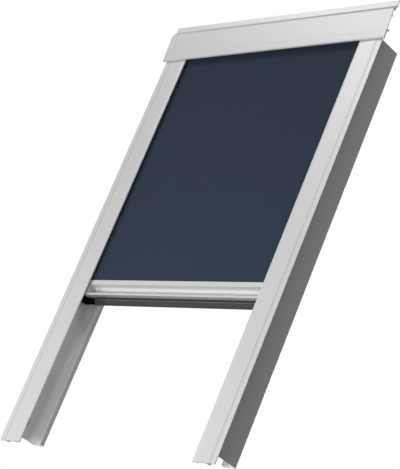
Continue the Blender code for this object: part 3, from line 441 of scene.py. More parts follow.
class Wiring:
    """Adds nodes to one tree and joins their sockets."""

    def __init__(self, tree):
        self.tree = tree

    def add(self, kind, inputs=None, **settings):
        node = self.tree.nodes.new(kind)
        for name, value in settings.items():
            setattr(node, name, value)
        for key, value in (inputs or {}).items():
            self.feed(node.inputs[key], value)
        return node

    def feed(self, socket, value):
        if isinstance(value, bpy.types.NodeSocket):
            self.tree.links.new(value, socket)
        else:
            socket.default_value = value

    def maths(self, operation, first, second=0.0):
        inputs = {0: first, 1: second}
        return self.add("ShaderNodeMath", inputs, operation=operation).outputs[0]

    def plus(self, first, second):
        return self.maths("ADD", first, second)

    def minus(self, first, second):
        return self.maths("SUBTRACT", first, second)

    def times(self, first, second):
        return self.maths("MULTIPLY", first, second)

    def over(self, first, second):
        return self.maths("DIVIDE", first, second)

    def unsigned(self, value):
        return self.maths("ABSOLUTE", value)

    def noise(self, vector, scale, detail=2.0, roughness=0.5):
        """A noise about 0.5."""
        inputs = {"Vector": vector, "Scale": scale, "Detail": detail, "Roughness": roughness}
        return self.add("ShaderNodeTexNoise", inputs).outputs["Fac"]

    def vectors(self, operation, first, second):
        inputs = {0: first, 1: second}
        return self.add("ShaderNodeVectorMath", inputs, operation=operation).outputs[0]

    def stretch(self, vector, factors):
        """The vector multiplied axis by axis, which draws a pattern out along an axis."""
        return self.vectors("MULTIPLY", vector, factors)

    def scaled(self, vector, factor):
        inputs = {0: vector, "Scale": factor}
        return self.add("ShaderNodeVectorMath", inputs, operation="SCALE").outputs[0]

    def spread(self, value, low, high, out_low, out_high):
        inputs = {0: value, 1: low, 2: high, 3: out_low, 4: out_high}
        return self.add("ShaderNodeMapRange", inputs).outputs[0]

    def rise(self, value, blend):
        """0 before the blend and 1 after it."""
        return self.spread(value, blend[0], blend[1], 0.0, 1.0)

    def fall(self, value, blend):
        """1 before the blend and 0 after it."""
        return self.spread(value, blend[0], blend[1], 1.0, 0.0)

    def sway(self, noise, reach, middle, change):
        """A noise within its reach of 0.5, made to change by so much about the middle."""
        return self.spread(noise, 0.5 - reach, 0.5 + reach, middle - change, middle + change)

    def position(self):
        return self.add("GeometryNodeInputPosition").outputs[0]

    def point(self, x=0.0, y=0.0, z=0.0):
        return self.add("ShaderNodeCombineXYZ", {0: x, 1: y, 2: z}).outputs[0]

    def moved(self, geometry, shift, turn=(0.0, 0.0, 0.0)):
        inputs = {"Geometry": geometry, "Translation": shift, "Rotation": turn}
        return self.add("GeometryNodeTransform", inputs).outputs[0]

    def part(self, vector, axis):
        return self.add("ShaderNodeSeparateXYZ", {0: vector}).outputs[axis]

    def blend(self, share, first, second):
        """The first colour where the share is 0 and the second where it is 1."""
        inputs = {0: share, 6: first, 7: second}
        return self.add("ShaderNodeMix", inputs, data_type="RGBA").outputs[2]

    def shade(self, colour, value):
        """The colour made lighter or darker by a value near 1."""
        grey = self.add("ShaderNodeCombineColor", {0: value, 1: value, 2: value}).outputs[0]
        inputs = {0: 1.0, 6: colour, 7: grey}
        node = self.add("ShaderNodeMix", inputs, data_type="RGBA", blend_type="MULTIPLY")
        return node.outputs[2]


def new_tree(name, kind, inputs, outputs):
    """A node tree's wiring, what it is given and what it makes."""
    tree = bpy.data.node_groups.new(name, kind)
    for way, labels in (("INPUT", inputs), ("OUTPUT", outputs)):
        for label in labels:
            socket = "NodeSocket" + SOCKET_KINDS.get(label, "Float")
            tree.interface.new_socket(label, in_out=way, socket_type=socket)
    source = tree.nodes.new("NodeGroupInput")
    result = tree.nodes.new("NodeGroupOutput")
    return Wiring(tree), source.outputs, result.inputs


def built_once(name, maker):
    """The node tree of this name, built the first time that it is asked for."""
    return bpy.data.node_groups.get(name) or maker(name)


def drawn_metal_group(name):
    """Fine lines along an extrusion, with a slow change of tone across it."""
    labels = ("Place", "Draw", "Colour", "Roughness")
    results = ("Colour", "Roughness", "Height")
    wiring, given, made = new_tree(name, "ShaderNodeTree", labels, results)
    drawn = wiring.stretch(given["Place"], given["Draw"])
    lines = wiring.noise(drawn, scale=1.0, detail=4.0, roughness=0.6)
    slow = wiring.noise(given["Place"], scale=9.0)
    tone = wiring.sway(lines, 0.25, 1.0, LINE_CONTRAST)
    drift = wiring.sway(slow, 0.2, 1.0, LINE_DRIFT)
    shaded = wiring.shade(given["Colour"], wiring.times(tone, drift))
    wiring.feed(made["Colour"], shaded)
    change = wiring.sway(lines, 0.25, 0.0, LINE_ROUGHNESS)
    wiring.feed(made["Roughness"], wiring.plus(given["Roughness"], change))
    wiring.feed(made["Height"], lines)
    return wiring.tree


def fine_grain_group(name):
    """The speckle of a moulded or plated surface."""
    labels = ("Place", "Scale", "Contrast", "Colour", "Roughness")
    results = ("Colour", "Roughness", "Height")
    wiring, given, made = new_tree(name, "ShaderNodeTree", labels, results)
    grain = wiring.noise(given["Place"], given["Scale"], detail=3.0, roughness=0.6)
    slow = wiring.noise(given["Place"], scale=60.0)
    swing = wiring.minus(wiring.plus(grain, slow), 1.0)
    tone = wiring.plus(wiring.times(swing, given["Contrast"]), 1.0)
    wiring.feed(made["Colour"], wiring.shade(given["Colour"], tone))
    change = wiring.times(swing, GRAIN_ROUGHNESS)
    wiring.feed(made["Roughness"], wiring.plus(given["Roughness"], change))
    wiring.feed(made["Height"], grain)
    return wiring.tree


def weave_group(name):
    """A plain weave with thicker and thinner threads that run across the blind."""
    labels = ("Place", "Pitch", "Colour")
    wiring, given, made = new_tree(name, "ShaderNodeTree", labels, ("Colour", "Height"))
    turns = wiring.over(math.pi, given["Pitch"])
    warp, weft = [
        wiring.maths("SINE", wiring.times(wiring.part(given["Place"], axis), turns))
        for axis in ("X", "Z")
    ]
    crossing = wiring.times(warp, weft)
    thick = wiring.stretch(given["Place"], SLUBS)
    slubs = wiring.noise(thick, scale=1.0, detail=3.0, roughness=0.65)
    bands = wiring.noise(wiring.stretch(given["Place"], BANDS), scale=1.0)
    slub_tone = wiring.sway(slubs, 0.2, 1.0, SLUB_CONTRAST)
    band_tone = wiring.sway(bands, 0.2, 1.0, BAND_CONTRAST)
    tone = wiring.times(slub_tone, band_tone)
    threads = wiring.plus(wiring.times(crossing, THREAD_CONTRAST), 1.0)
    shaded = wiring.shade(given["Colour"], wiring.times(tone, threads))
    wiring.feed(made["Colour"], shaded)
    lift = wiring.plus(wiring.times(crossing, 0.5), slubs)
    wiring.feed(made["Height"], lift)
    return wiring.tree


def blank_material(name):
    """A material with nothing but a Principled BSDF, and what is needed to wire it."""
    made = bpy.data.materials.new(name)
    made.use_nodes = True
    wiring = Wiring(made.node_tree)
    shader = made.node_tree.nodes["Principled BSDF"]
    place = wiring.add("ShaderNodeTexCoord").outputs["Object"]
    return made, wiring, shader, place


def opaque(colour):
    return (*colour, 1.0)


def outward(wiring, axis):
    """How far each face is turned to one axis."""
    return wiring.part(wiring.add("ShaderNodeNewGeometry").outputs["Normal"], axis)


def add_effect(wiring, shader, effect_tree, inputs, bump_depth):
    """Places an effect and joins its colour, roughness and height to the shader."""
    effect = wiring.add("ShaderNodeGroup", inputs, node_tree=effect_tree)
    wiring.feed(shader.inputs["Base Color"], effect.outputs["Colour"])
    if "Roughness" in effect.outputs:
        wiring.feed(shader.inputs["Roughness"], effect.outputs["Roughness"])
    height = effect.outputs["Height"]
    inputs = {"Strength": BUMP_STRENGTH, "Distance": bump_depth, "Height": height}
    wiring.feed(shader.inputs["Normal"], wiring.add("ShaderNodeBump", inputs).outputs[0])


def draw_metal(wiring, shader, place, draw, colour):
    """Gives the shader the satin of an extrusion, whose lines run the way that `draw` says."""
    inputs = {"Place": place, "Draw": draw, "Colour": colour, "Roughness": SATIN_ROUGHNESS}
    effect_tree = built_once("Drawn Metal", drawn_metal_group)
    add_effect(wiring, shader, effect_tree, inputs, LINE_DEPTH)
    shader.inputs["Metallic"].default_value = SATIN_METALLIC


def level_material(name, colours):
    """The satin anodised aluminium of the headrail and the roller's tube."""
    made, wiring, shader, place = blank_material(name)
    draw_metal(wiring, shader, place, LEVEL, opaque(colours.aluminium))
    return made


def rail_material(name, colours):
    """The rails' aluminium, with painted shade in the groove beside the outer strip and on the end faces."""
    made, wiring, shader, place = blank_material(name)
    # painted shade in the groove beside the outer strip
    across = wiring.unsigned(wiring.part(place, "X"))
    inner = wiring.rise(across, GROOVE_INNER_SIDE)
    outer = wiring.fall(across, GROOVE_OUTER_SIDE)
    groove_shade = wiring.times(inner, outer)
    tone = wiring.blend(groove_shade, opaque(colours.aluminium), opaque(colours.groove))
    # painted shade on the faces turned up or down, which are the rails' ends
    end_shade = wiring.rise(wiring.unsigned(outward(wiring, "Z")), TURNED_ENDWAYS)
    tone = wiring.blend(end_shade, tone, opaque(colours.shadowed))
    draw_metal(wiring, shader, place, UPRIGHT, tone)
    return made


def channel_material(name, colours):
    """The channels' aluminium, with painted light on the inside, most on the side walls, and painted shade,
    a little blue, on the flange and lip.
    """
    made, wiring, shader, place = blank_material(name)
    # painted light inside the channel, most on the side walls
    side_light = wiring.rise(wiring.unsigned(outward(wiring, "X")), TURNED_SIDEWAYS)
    inside = wiring.blend(side_light, opaque(colours.channel_back_light), opaque(colours.channel))
    across = wiring.unsigned(wiring.part(place, "X"))
    flange = wiring.rise(across, CHANNEL_OUTSIDE)
    lip = wiring.fall(across, CHANNEL_LIP_EDGE)
    # painted shade on the flange and the lip
    outside = wiring.maths("MAXIMUM", flange, lip)
    tone = wiring.blend(outside, inside, opaque(colours.outside_shade))
    draw_metal(wiring, shader, place, UPRIGHT, tone)
    return made


def bar_material(name, colours):
    """The bar's aluminium, with painted light inside its finger recess and painted shade under its lip."""
    made, wiring, shader, place = blank_material(name)
    height = wiring.part(place, "Z")
    roomward = wiring.fall(outward(wiring, "Y"), TURNED_TO_GLASS)
    upward = outward(wiring, "Z")
    # painted light in the recess, less on its roof, which faces down
    low, high = TURNED_STRAIGHT_DOWN
    recess_light = wiring.spread(upward, low, high, RECESS_ROOF_LIGHT_SHARE, 1.0)
    for share in (
        roomward,
        wiring.rise(wiring.part(place, "Y"), RECESS_FRONT),
        wiring.rise(height, RECESS_FLOOR),
        wiring.fall(height, RECESS_ROOF),
    ):
        recess_light = wiring.times(recess_light, share)
    tone = wiring.blend(recess_light, opaque(colours.aluminium), opaque(colours.recess))
    # painted shade on the faces turned down under the lip
    lip_shade = wiring.fall(upward, TURNED_DOWN)
    for share in (roomward, wiring.fall(height, BAR_UNDERSIDE)):
        lip_shade = wiring.times(lip_shade, share)
    tone = wiring.blend(lip_shade, tone, opaque(colours.underside))
    draw_metal(wiring, shader, place, LEVEL, tone)
    return made


def grained_material(name, colour, roughness, scale, contrast, bump_mm, metallic, gloss):
    """A moulded, foamed or plated finish."""
    made, wiring, shader, place = blank_material(name)
    inputs = {
        "Place": place,
        "Scale": scale,
        "Contrast": contrast,
        "Colour": opaque(colour),
        "Roughness": roughness,
    }
    effect_tree = built_once("Fine Grain", fine_grain_group)
    add_effect(wiring, shader, effect_tree, inputs, bump_mm * MM)
    shader.inputs["Metallic"].default_value = metallic
    shader.inputs["Specular IOR Level"].default_value = gloss
    return made


def cloth_material(name, colour, roughness, bump_mm):
    """One side of the cloth."""
    made, wiring, shader, place = blank_material(name)
    pitch = bpy.context.scene.blind_sizes.weave
    inputs = {"Place": place, "Pitch": pitch, "Colour": opaque(colour)}
    effect_tree = built_once("Plain Weave", weave_group)
    add_effect(wiring, shader, effect_tree, inputs, bump_mm * MM)
    shader.inputs["Roughness"].default_value = roughness
    shader.inputs["Specular IOR Level"].default_value = CLOTH_GLOSS
    return made


ALUMINIUM_FINISHES = {
    "upright_aluminium": rail_material,
    "channel_aluminium": channel_material,
    "level_aluminium": level_material,
    "bar_aluminium": bar_material,
}


def finish_material(name):
    """One of the blind's finishes, made the first time that it is asked for.

    Its label differs from the name, because the CAD model brings materials of the same names.
    """
    label = name + "_finish"
    if label in bpy.data.materials:
        return bpy.data.materials[label]
    colours = bpy.context.scene.blind_colours
    if name in ALUMINIUM_FINISHES:
        return ALUMINIUM_FINISHES[name](label, colours)
    maker, finishes = grained_material, GRAINED_FINISHES
    if name in CLOTH_FINISHES:
        maker, finishes = cloth_material, CLOTH_FINISHES
    setting, *look = finishes[name]
    return maker(label, getattr(colours, setting), *look)


# Meshes


def new_piece(name, mesh):
    mesh.name = name
    made = bpy.data.objects.new(name, mesh)
    bpy.context.scene.collection.objects.link(made)
    return made


def evaluated_mesh(obj):
    """The object's mesh with its modifiers worked out, and the modifiers removed."""
    graph = bpy.context.evaluated_depsgraph_get()
    mesh = bpy.data.meshes.new_from_object(obj.evaluated_get(graph))
    obj.modifiers.clear()
    return mesh


def merged_copy(node):
    """A copy of a CAD node's mesh, its triangles joined and its flat faces made whole."""
    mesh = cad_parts[node].data.copy()
    mesh.materials.clear()
    work = bmesh.new()
    work.from_mesh(mesh)
    bmesh.ops.remove_doubles(work, verts=work.verts, dist=MERGE_DISTANCE)
    bmesh.ops.dissolve_limit(
        work, angle_limit=FLAT_ANGLE, verts=work.verts, edges=work.edges, delimit=set()
    )
    work.to_mesh(mesh)
    work.free()
    for layer in list(mesh.uv_layers):
        mesh.uv_layers.remove(layer)
    return mesh


def dress(node, slot, finish, body, edge_mm):
    """Stands a copy of the node in its place, with broken edges, smooth rounds and its finish."""
    mesh = merged_copy(node)
    mesh.shade_smooth()
    mesh.set_sharp_from_angle(angle=SHARP_ANGLE)
    piece = new_piece(node + "_piece", mesh)
    bevel = piece.modifiers.new("Broken edges", "BEVEL")
    bevel.width = edge_mm * MM
    bevel.segments = 2
    bevel.limit_method = "ANGLE"
    bevel.angle_limit = SHARP_ANGLE
    weighted = piece.modifiers.new("Weighted normals", "WEIGHTED_NORMAL")
    weighted.keep_sharp = True
    plain = piece.data
    piece.data = evaluated_mesh(piece)
    bpy.data.meshes.remove(plain)
    piece.data.materials.append(finish_material(finish))
    place(piece, body, slot, node)


def place(piece, body, slot, *nodes):
    """Hides the CAD nodes that the piece stands for and hangs the piece on the body that it moves with; the
    slot is not used.
    """
    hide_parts(*nodes)
    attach(piece, body)


def dress_pair(rows):
    for side in SIDES:
        for node, slot, finish, body, edge_mm in rows:
            dress(f"{side}_{node}", slot, finish, body, edge_mm)


# Geometry nodes


def geometry_tree(name, *labels):
    """A tree that turns a start mesh, named sizes and a material into one mesh."""
    given = ("Geometry", *labels, "Material")
    return new_tree(name, "GeometryNodeTree", given, ("Geometry",))


def end_tree(wiring, geometries, given, made):
    """Every tree's last nodes, which join what it made and give it its material."""
    joined = wiring.add("GeometryNodeJoinGeometry")
    for geometry in geometries:
        wiring.tree.links.new(geometry, joined.inputs[0])
    real = wiring.add("GeometryNodeRealizeInstances", {0: joined.outputs[0]}).outputs[0]
    inputs = {"Geometry": real, "Material": given["Material"]}
    wiring.feed(made["Geometry"], wiring.add("GeometryNodeSetMaterial", inputs).outputs[0])
    return wiring.tree


def run_tree(tree, start_mesh, values):
    """The plain mesh that a tree makes from a start mesh and its named values."""
    holder = bpy.data.objects.new(tree.name, start_mesh)
    bpy.context.scene.collection.objects.link(holder)
    modifier = holder.modifiers.new(tree.name, "NODES")
    modifier.node_group = tree
    for item in tree.interface.items_tree:
        if item.in_out == "INPUT" and item.name in values:
            modifier[item.identifier] = values[item.name]
    mesh = evaluated_mesh(holder)
    bpy.data.objects.remove(holder)
    for attribute in list(mesh.attributes):
        own = attribute.is_internal or attribute.is_required
        if not own and attribute.name not in ("sharp_face", "sharp_edge", "material_index"):
            mesh.attributes.remove(attribute)
    return mesh


def named(wiring, label, kind="FLOAT"):
    node = wiring.add("GeometryNodeInputNamedAttribute", data_type=kind)
    node.inputs["Name"].default_value = label
    return node.outputs["Attribute"]


def store(wiring, geometry, label, value):
    kind = "FLOAT_VECTOR"
    node = wiring.add("GeometryNodeStoreNamedAttribute", data_type=kind, domain="POINT")
    wiring.feed(node.inputs["Geometry"], geometry)
    node.inputs["Name"].default_value = label
    wiring.feed(node.inputs["Value"], value)
    return node.outputs[0]


def screw_head(wiring, radius, height, cross):
    """A domed pan head with a cross recess, standing on the origin."""
    inputs = {
        "Vertices": HEAD_SIDES,
        "Side Segments": HEAD_RINGS,
        "Radius": radius,
        "Depth": height,
    }
    cylinder = wiring.add("GeometryNodeMeshCylinder", inputs).outputs["Mesh"]
    lift = wiring.point(z=wiring.times(height, 0.5))
    stood = wiring.moved(cylinder, lift)
    position = wiring.position()
    upward = wiring.part(position, "Z")
    rise = wiring.rise(wiring.over(upward, height), (DOME_START, 1.0))
    narrowing = wiring.times(wiring.maths("POWER", rise, DOME_POWER), DOME_TAPER)
    share = wiring.minus(1.0, narrowing)
    across = [wiring.times(wiring.part(position, axis), share) for axis in ("X", "Y")]
    inputs = {"Geometry": stood, "Position": wiring.point(*across, upward)}
    domed = wiring.add("GeometryNodeSetPosition", inputs).outputs[0]
    long_side = wiring.times(radius, CROSS_LENGTH)
    deep = wiring.times(height, CROSS_HEIGHT)
    cut = wiring.add("GeometryNodeMeshBoolean", operation="DIFFERENCE", solver="EXACT")
    wiring.feed(cut.inputs["Mesh 1"], domed)
    for width, length in ((long_side, cross), (cross, long_side)):
        size = wiring.point(width, length, deep)
        cube = wiring.add("GeometryNodeMeshCube", {"Size": size}).outputs["Mesh"]
        cutter = wiring.moved(cube, wiring.point(z=height))
        wiring.tree.links.new(cutter, cut.inputs["Mesh 2"])
    return cut.outputs["Mesh"]


def screw_shank(wiring):
    """A unit shank under the origin, which remembers where each of its points began."""
    inputs = {
        "Vertices": SHANK_SIDES,
        "Side Segments": SHANK_RINGS,
        "Radius": 1.0,
        "Depth": 1.0,
    }
    cylinder = wiring.add("GeometryNodeMeshCylinder", inputs).outputs["Mesh"]
    stood = wiring.moved(cylinder, (0.0, 0.0, -SHANK_DROP))
    return store(wiring, stood, "start", wiring.position())


def cut_thread(wiring, shanks, pitch, depth):
    """Draws the shank's points in between the threads and towards the tip."""
    start = named(wiring, "start", "FLOAT_VECTOR")
    reach = named(wiring, "reach")
    girth = named(wiring, "girth")
    lean = named(wiring, "lean", "FLOAT_VECTOR")
    seat = named(wiring, "seat", "FLOAT_VECTOR")
    along = wiring.times(wiring.part(start, "Z"), reach)
    middle = wiring.vectors("ADD", seat, wiring.scaled(lean, along))
    away = wiring.vectors("SUBTRACT", wiring.position(), middle)
    angle = wiring.maths("ARCTAN2", wiring.part(start, "Y"), wiring.part(start, "X"))
    turn = wiring.over(angle, 2 * math.pi)
    turns = wiring.plus(wiring.over(along, pitch), turn)
    phase = wiring.times(wiring.maths("FRACT", turns), 2.0)
    wave = wiring.unsigned(wiring.minus(phase, 1.0))
    groove = wiring.over(wiring.times(wave, depth), girth)
    left = wiring.over(wiring.plus(along, reach), girth)
    tip = wiring.spread(left, 0.0, TIP_LENGTH, TIP_TAPER, 0.0)
    pull = wiring.times(wiring.plus(groove, tip), -1.0)
    inputs = {"Geometry": shanks, "Offset": wiring.scaled(away, pull)}
    return wiring.add("GeometryNodeSetPosition", inputs).outputs[0]


def screw_tree(name):
    labels = ("Head Radius", "Head Height", "Cross Width", "Thread Pitch", "Thread Depth")
    wiring, given, made = geometry_tree(name, *labels)
    points = wiring.add("GeometryNodeMeshToPoints", {"Mesh": given["Geometry"]}).outputs[0]
    points = store(wiring, points, "seat", wiring.position())
    lean = named(wiring, "lean", "FLOAT_VECTOR")
    turn = wiring.add("FunctionNodeAlignRotationToVector", {"Vector": lean}, axis="Z").outputs[0]
    head = screw_head(wiring, given["Head Radius"], given["Head Height"], given["Cross Width"])
    inputs = {"Points": points, "Instance": head, "Rotation": turn}
    heads = wiring.add("GeometryNodeInstanceOnPoints", inputs).outputs[0]
    girth, reach = named(wiring, "girth"), named(wiring, "reach")
    scale = wiring.point(girth, girth, reach)
    inputs = {"Points": points, "Instance": screw_shank(wiring), "Rotation": turn, "Scale": scale}
    shanks = wiring.add("GeometryNodeInstanceOnPoints", inputs).outputs[0]
    shanks = wiring.add("GeometryNodeRealizeInstances", {0: shanks}).outputs[0]
    shanks = cut_thread(wiring, shanks, given["Thread Pitch"], given["Thread Depth"])
    return end_tree(wiring, (heads, shanks), given, made)


def screw_rows(kinds):
    """For each screw of these kinds: its node, the foot of its head, its direction, its lengths."""
    rows = []
    for kind, axis in kinds:
        for side in SIDES:
            node = f"{side}_{kind}"
            low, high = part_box(node)
            upward = axis != 0 or side == "right"
            lean = Vector((0.0, 0.0, 0.0))
            lean[axis] = 1.0 if upward else -1.0
            seat = (low + high) / 2
            seat[axis] = (high[axis] - HEAD_HEIGHT) if upward else (low[axis] + HEAD_HEIGHT)
            reach = high[axis] - low[axis] - HEAD_HEIGHT
            girth = SHOE_SCREW_RADIUS if kind == "shoe_screw" else SCREW_RADIUS
            rows.append((node, seat, lean, reach, girth))
    return rows


def screws(name, kinds, body):
    nodes, seats, leans, reaches, girths = zip(*screw_rows(kinds))
    start = bpy.data.meshes.new(name + "_points")
    start.from_pydata(seats, [], [])
    for label, values in (("reach", reaches), ("girth", girths)):
        start.attributes.new(label, "FLOAT", "POINT").data.foreach_set("value", values)
    directions = [number for lean in leans for number in lean]
    start.attributes.new("lean", "FLOAT_VECTOR", "POINT").data.foreach_set("vector", directions)
    values = {
        "Head Radius": HEAD_RADIUS,
        "Head Height": HEAD_HEIGHT,
        "Cross Width": CROSS_WIDTH,
        "Thread Pitch": bpy.context.scene.blind_sizes.thread_pitch,
        "Thread Depth": THREAD_DEPTH,
        "Material": finish_material("bright_steel"),
    }
    mesh = run_tree(built_once("Pan Head Screws", screw_tree), start, values)
    mesh.shade_smooth()
    mesh.set_sharp_from_angle(angle=SCREW_SHARP_ANGLE)
    place(new_piece(name, mesh), body, "bright_steel", *nodes)


def spring_tree(name):
    labels = ("Turns", "Coil Radius", "Wire Radius", "Length")
    wiring, given, made = geometry_tree(name, *labels)
    inputs = {
        "Resolution": 16,
        "Rotations": given["Turns"],
        "Start Radius": given["Coil Radius"],
        "End Radius": given["Coil Radius"],
        "Height": given["Length"],
    }
    coil = wiring.add("GeometryNodeCurveSpiral", inputs).outputs[0]
    inputs = {"Resolution": 8, "Radius": given["Wire Radius"]}
    wire = wiring.add("GeometryNodeCurvePrimitiveCircle", inputs).outputs["Curve"]
    inputs = {"Curve": coil, "Profile Curve": wire, "Fill Caps": True}
    drawn = wiring.add("GeometryNodeCurveToMesh", inputs).outputs[0]
    return end_tree(wiring, (drawn,), given, made)


def torsion_spring(turns):
    low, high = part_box("torsion_spring")
    values = {
        "Turns": float(turns),
        "Coil Radius": (high.z - low.z) / 2 - SPRING_WIRE_RADIUS,
        "Wire Radius": SPRING_WIRE_RADIUS,
        "Length": high.x - low.x - 2 * SPRING_WIRE_RADIUS,
        "Material": finish_material("bright_steel"),
    }
    tree = built_once("Torsion Spring", spring_tree)
    mesh = run_tree(tree, bpy.data.meshes.new("spring_start"), values)
    centre = (low + high) / 2
    foot = Matrix.Translation((low.x + SPRING_WIRE_RADIUS, centre.y, centre.z))
    mesh.transform(foot @ Matrix.Rotation(math.radians(90), 4, "Y"))
    mesh.shade_smooth()
    mesh.set_sharp_from_angle(angle=SPRING_SHARP_ANGLE)
    piece = new_piece("torsion_spring_coil", mesh)
    place(piece, "root", "bright_steel", "torsion_spring")


def brush_tree(name):
    """A backing strip, a dense core and strands that lean a little each their own way.

    The strip lies along Z, is as wide as X says, and its pile stands up along Y.
    """
    labels = ("Width", "Length", "Backing", "Pile Width", "Pile Height", "Pitch", "Strand", "Seed")
    wiring, given, made = geometry_tree(name, *labels)

    def share_of(label, share):
        return wiring.times(given[label], share)

    def slab(width, low, high):
        deep = wiring.minus(high, low)
        size = wiring.point(width, deep, given["Length"])
        cube = wiring.add("GeometryNodeMeshCube", {"Size": size}).outputs["Mesh"]
        middle = wiring.times(wiring.plus(low, high), 0.5)
        return wiring.moved(cube, wiring.point(y=middle))

    def scatter(low, high, seed):
        node = wiring.add("FunctionNodeRandomValue", data_type="FLOAT_VECTOR")
        node.inputs[0].default_value = low
        node.inputs[1].default_value = high
        wiring.feed(node.inputs["Seed"], seed)
        return node.outputs[0]

    strip = slab(given["Width"], 0.0, given["Backing"])
    core_top = wiring.plus(given["Backing"], share_of("Pile Height", CORE_HEIGHT))
    core = slab(share_of("Pile Width", CORE_WIDTH), share_of("Backing", CORE_FOOT), core_top)
    grid_inputs = {}
    for axis, label in (("X", "Pile Width"), ("Y", "Length")):
        room = wiring.minus(given[label], given["Strand"])
        steps = wiring.maths("FLOOR", wiring.over(room, given["Pitch"]))
        grid_inputs["Size " + axis] = room
        grid_inputs["Vertices " + axis] = wiring.plus(steps, 1.0)
    grid = wiring.add("GeometryNodeMeshGrid", grid_inputs).outputs["Mesh"]
    foot = wiring.plus(given["Backing"], share_of("Pile Height", STRAND_FOOT))
    stood = wiring.moved(grid, wiring.point(y=foot), (math.radians(-90), 0.0, 0.0))
    shift = wiring.scaled(scatter(-STRAND_SHIFT, STRAND_SHIFT, given["Seed"]), given["Pitch"])
    inputs = {"Geometry": stood, "Offset": shift}
    scattered = wiring.add("GeometryNodeSetPosition", inputs).outputs[0]
    inputs = {
        "Vertices": 3,
        "Radius Top": share_of("Strand", STRAND_TIP),
        "Radius Bottom": share_of("Strand", STRAND_ROOT),
        "Depth": share_of("Pile Height", STRAND_HEIGHT),
    }
    strand = wiring.add("GeometryNodeMeshCone", inputs).outputs["Mesh"]
    lean = scatter(
        (math.radians(-90 - STRAND_LEAN_DEGREES), math.radians(-STRAND_LEAN_DEGREES), -math.pi),
        (math.radians(-90 + STRAND_LEAN_DEGREES), math.radians(STRAND_LEAN_DEGREES), math.pi),
        wiring.plus(given["Seed"], 1.0),
    )
    turn = wiring.add("FunctionNodeEulerToRotation", {0: lean}).outputs[0]
    points = wiring.add("GeometryNodeMeshToPoints", {"Mesh": scattered}).outputs[0]
    inputs = {"Points": points, "Instance": strand, "Rotation": turn}
    strands = wiring.add("GeometryNodeInstanceOnPoints", inputs).outputs[0]
    return end_tree(wiring, (strip, core, strands), given, made)


def brush(node, body, width, length, backing, pile_width, pile_height, turn, centre, seed):
    """A brush that stands for the node: `turn` leads the pile from +Y to where it points."""
    sizes = bpy.context.scene.blind_sizes
    values = {
        "Width": width,
        "Length": length,
        "Backing": backing,
        "Pile Width": pile_width,
        "Pile Height": pile_height,
        "Pitch": sizes.strand_pitch,
        "Strand": sizes.strand,
        "Seed": seed,
        "Material": finish_material("brush_pile"),
    }
    tree = built_once("Brush Pile", brush_tree)
    mesh = run_tree(tree, bpy.data.meshes.new(node + "_start"), values)
    mesh.transform(Matrix.Translation(centre) @ turn)
    place(new_piece(node + "_brush", mesh), body, "pile", node)


def seal_brush(side, seed):
    """The pile along one rail, which stands towards the glass."""
    node = f"{side}_rail_seal"
    low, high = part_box(node)
    width = high.x - low.x
    foot = (low + high) / 2
    foot.y = low.y
    sizes = (width, high.z - low.z, SEAL_BACKING)
    sizes += (width * SEAL_PILE_WIDTH, high.y - low.y - SEAL_BACKING)
    brush(node, "root", *sizes, Matrix.Identity(4), foot, seed)


def pad_brush(side, seed):
    """The friction pad on one end of the bar, whose pile stands outward."""
    node = f"{side}_friction_pad"
    low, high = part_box(node)
    foot = (low + high) / 2
    foot.x = low.x if side == "right" else high.x
    sizes = (high.y - low.y, high.z - low.z, PAD_BACKING)
    sizes += (high.y - low.y, high.x - low.x - PAD_BACKING)
    angle = -90 if side == "right" else 90
    brush(node, "bar", *sizes, Matrix.Rotation(math.radians(angle), 4, "Z"), foot, seed)


# Cloth


def cell_face(work, grid, row, column, finish):
    """One face of a side of a sheet: finish 0 is the cloth and 1 its coating."""
    corners = [(row, column), (row + 1, column), (row + 1, column + 1), (row, column + 1)]
    face = work.faces.new([grid[r][c] for r, c in corners])
    face.material_index = finish
    return face


def edge_face(work, grids, here, there):
    """The face that joins an edge of a sheet's first side to the same edge of its second."""
    first, second = grids
    corners = [first[row][column] for row, column in (here, there)]
    corners += [second[row][column] for row, column in (there, here)]
    work.faces.new(corners)


def cloth_piece(name, work):
    bmesh.ops.recalc_face_normals(work, faces=work.faces)
    mesh = bpy.data.meshes.new(name)
    work.to_mesh(mesh)
    work.free()
    for finish in CLOTH_FINISHES:
        mesh.materials.append(finish_material(finish))
    return new_piece(name, mesh)


def cloth_sheet():
    """The flat cloth between the roller and the bar, and its tail inside the bar's slot.

    Its only rows are at the roller and at the bar, because the stretch between them is straight at
    every height of the bar.
    """
    low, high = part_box("fabric_sheet")
    bar_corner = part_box("bottom_bar")[1]
    bar_top = bar_corner.z + BAR_ROOM
    half = high.x
    tail = bar_corner.x - BAR_ROOM
    inner = [tail * (2 * step / TAIL_COLUMNS - 1) for step in range(TAIL_COLUMNS + 1)]
    columns = [-half, *inner, half]
    rows = [high.z, bar_top, low.z]
    last = len(columns) - 1
    work = bmesh.new()
    grids = []
    for depth in (low.y, high.y):
        grids.append([[work.verts.new((x, depth, z)) for x in columns] for z in rows])
    cells = [(0, column) for column in range(last)]
    cells += [(1, column) for column in range(1, last - 1)]
    for row, column in cells:
        for finish, grid in enumerate(grids):
            cell_face(work, grid, row, column, finish)
    rim = [(0, column) for column in range(last + 1)] + [(1, last), (1, last - 1)]
    rim += [(2, column) for column in range(last - 1, 0, -1)] + [(1, 1), (1, 0)]
    for here, there in zip(rim, rim[1:] + rim[:1]):
        edge_face(work, grids, here, there)
    for grid in grids:
        for column in (0, last):
            work.verts.remove(grid[2][column])
    piece = cloth_piece("cloth_sheet", work)
    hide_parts("fabric_sheet")
    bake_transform(piece, "root", "bar", start=(0.0, low.y, high.z), end=(0.0, low.y, bar_top))


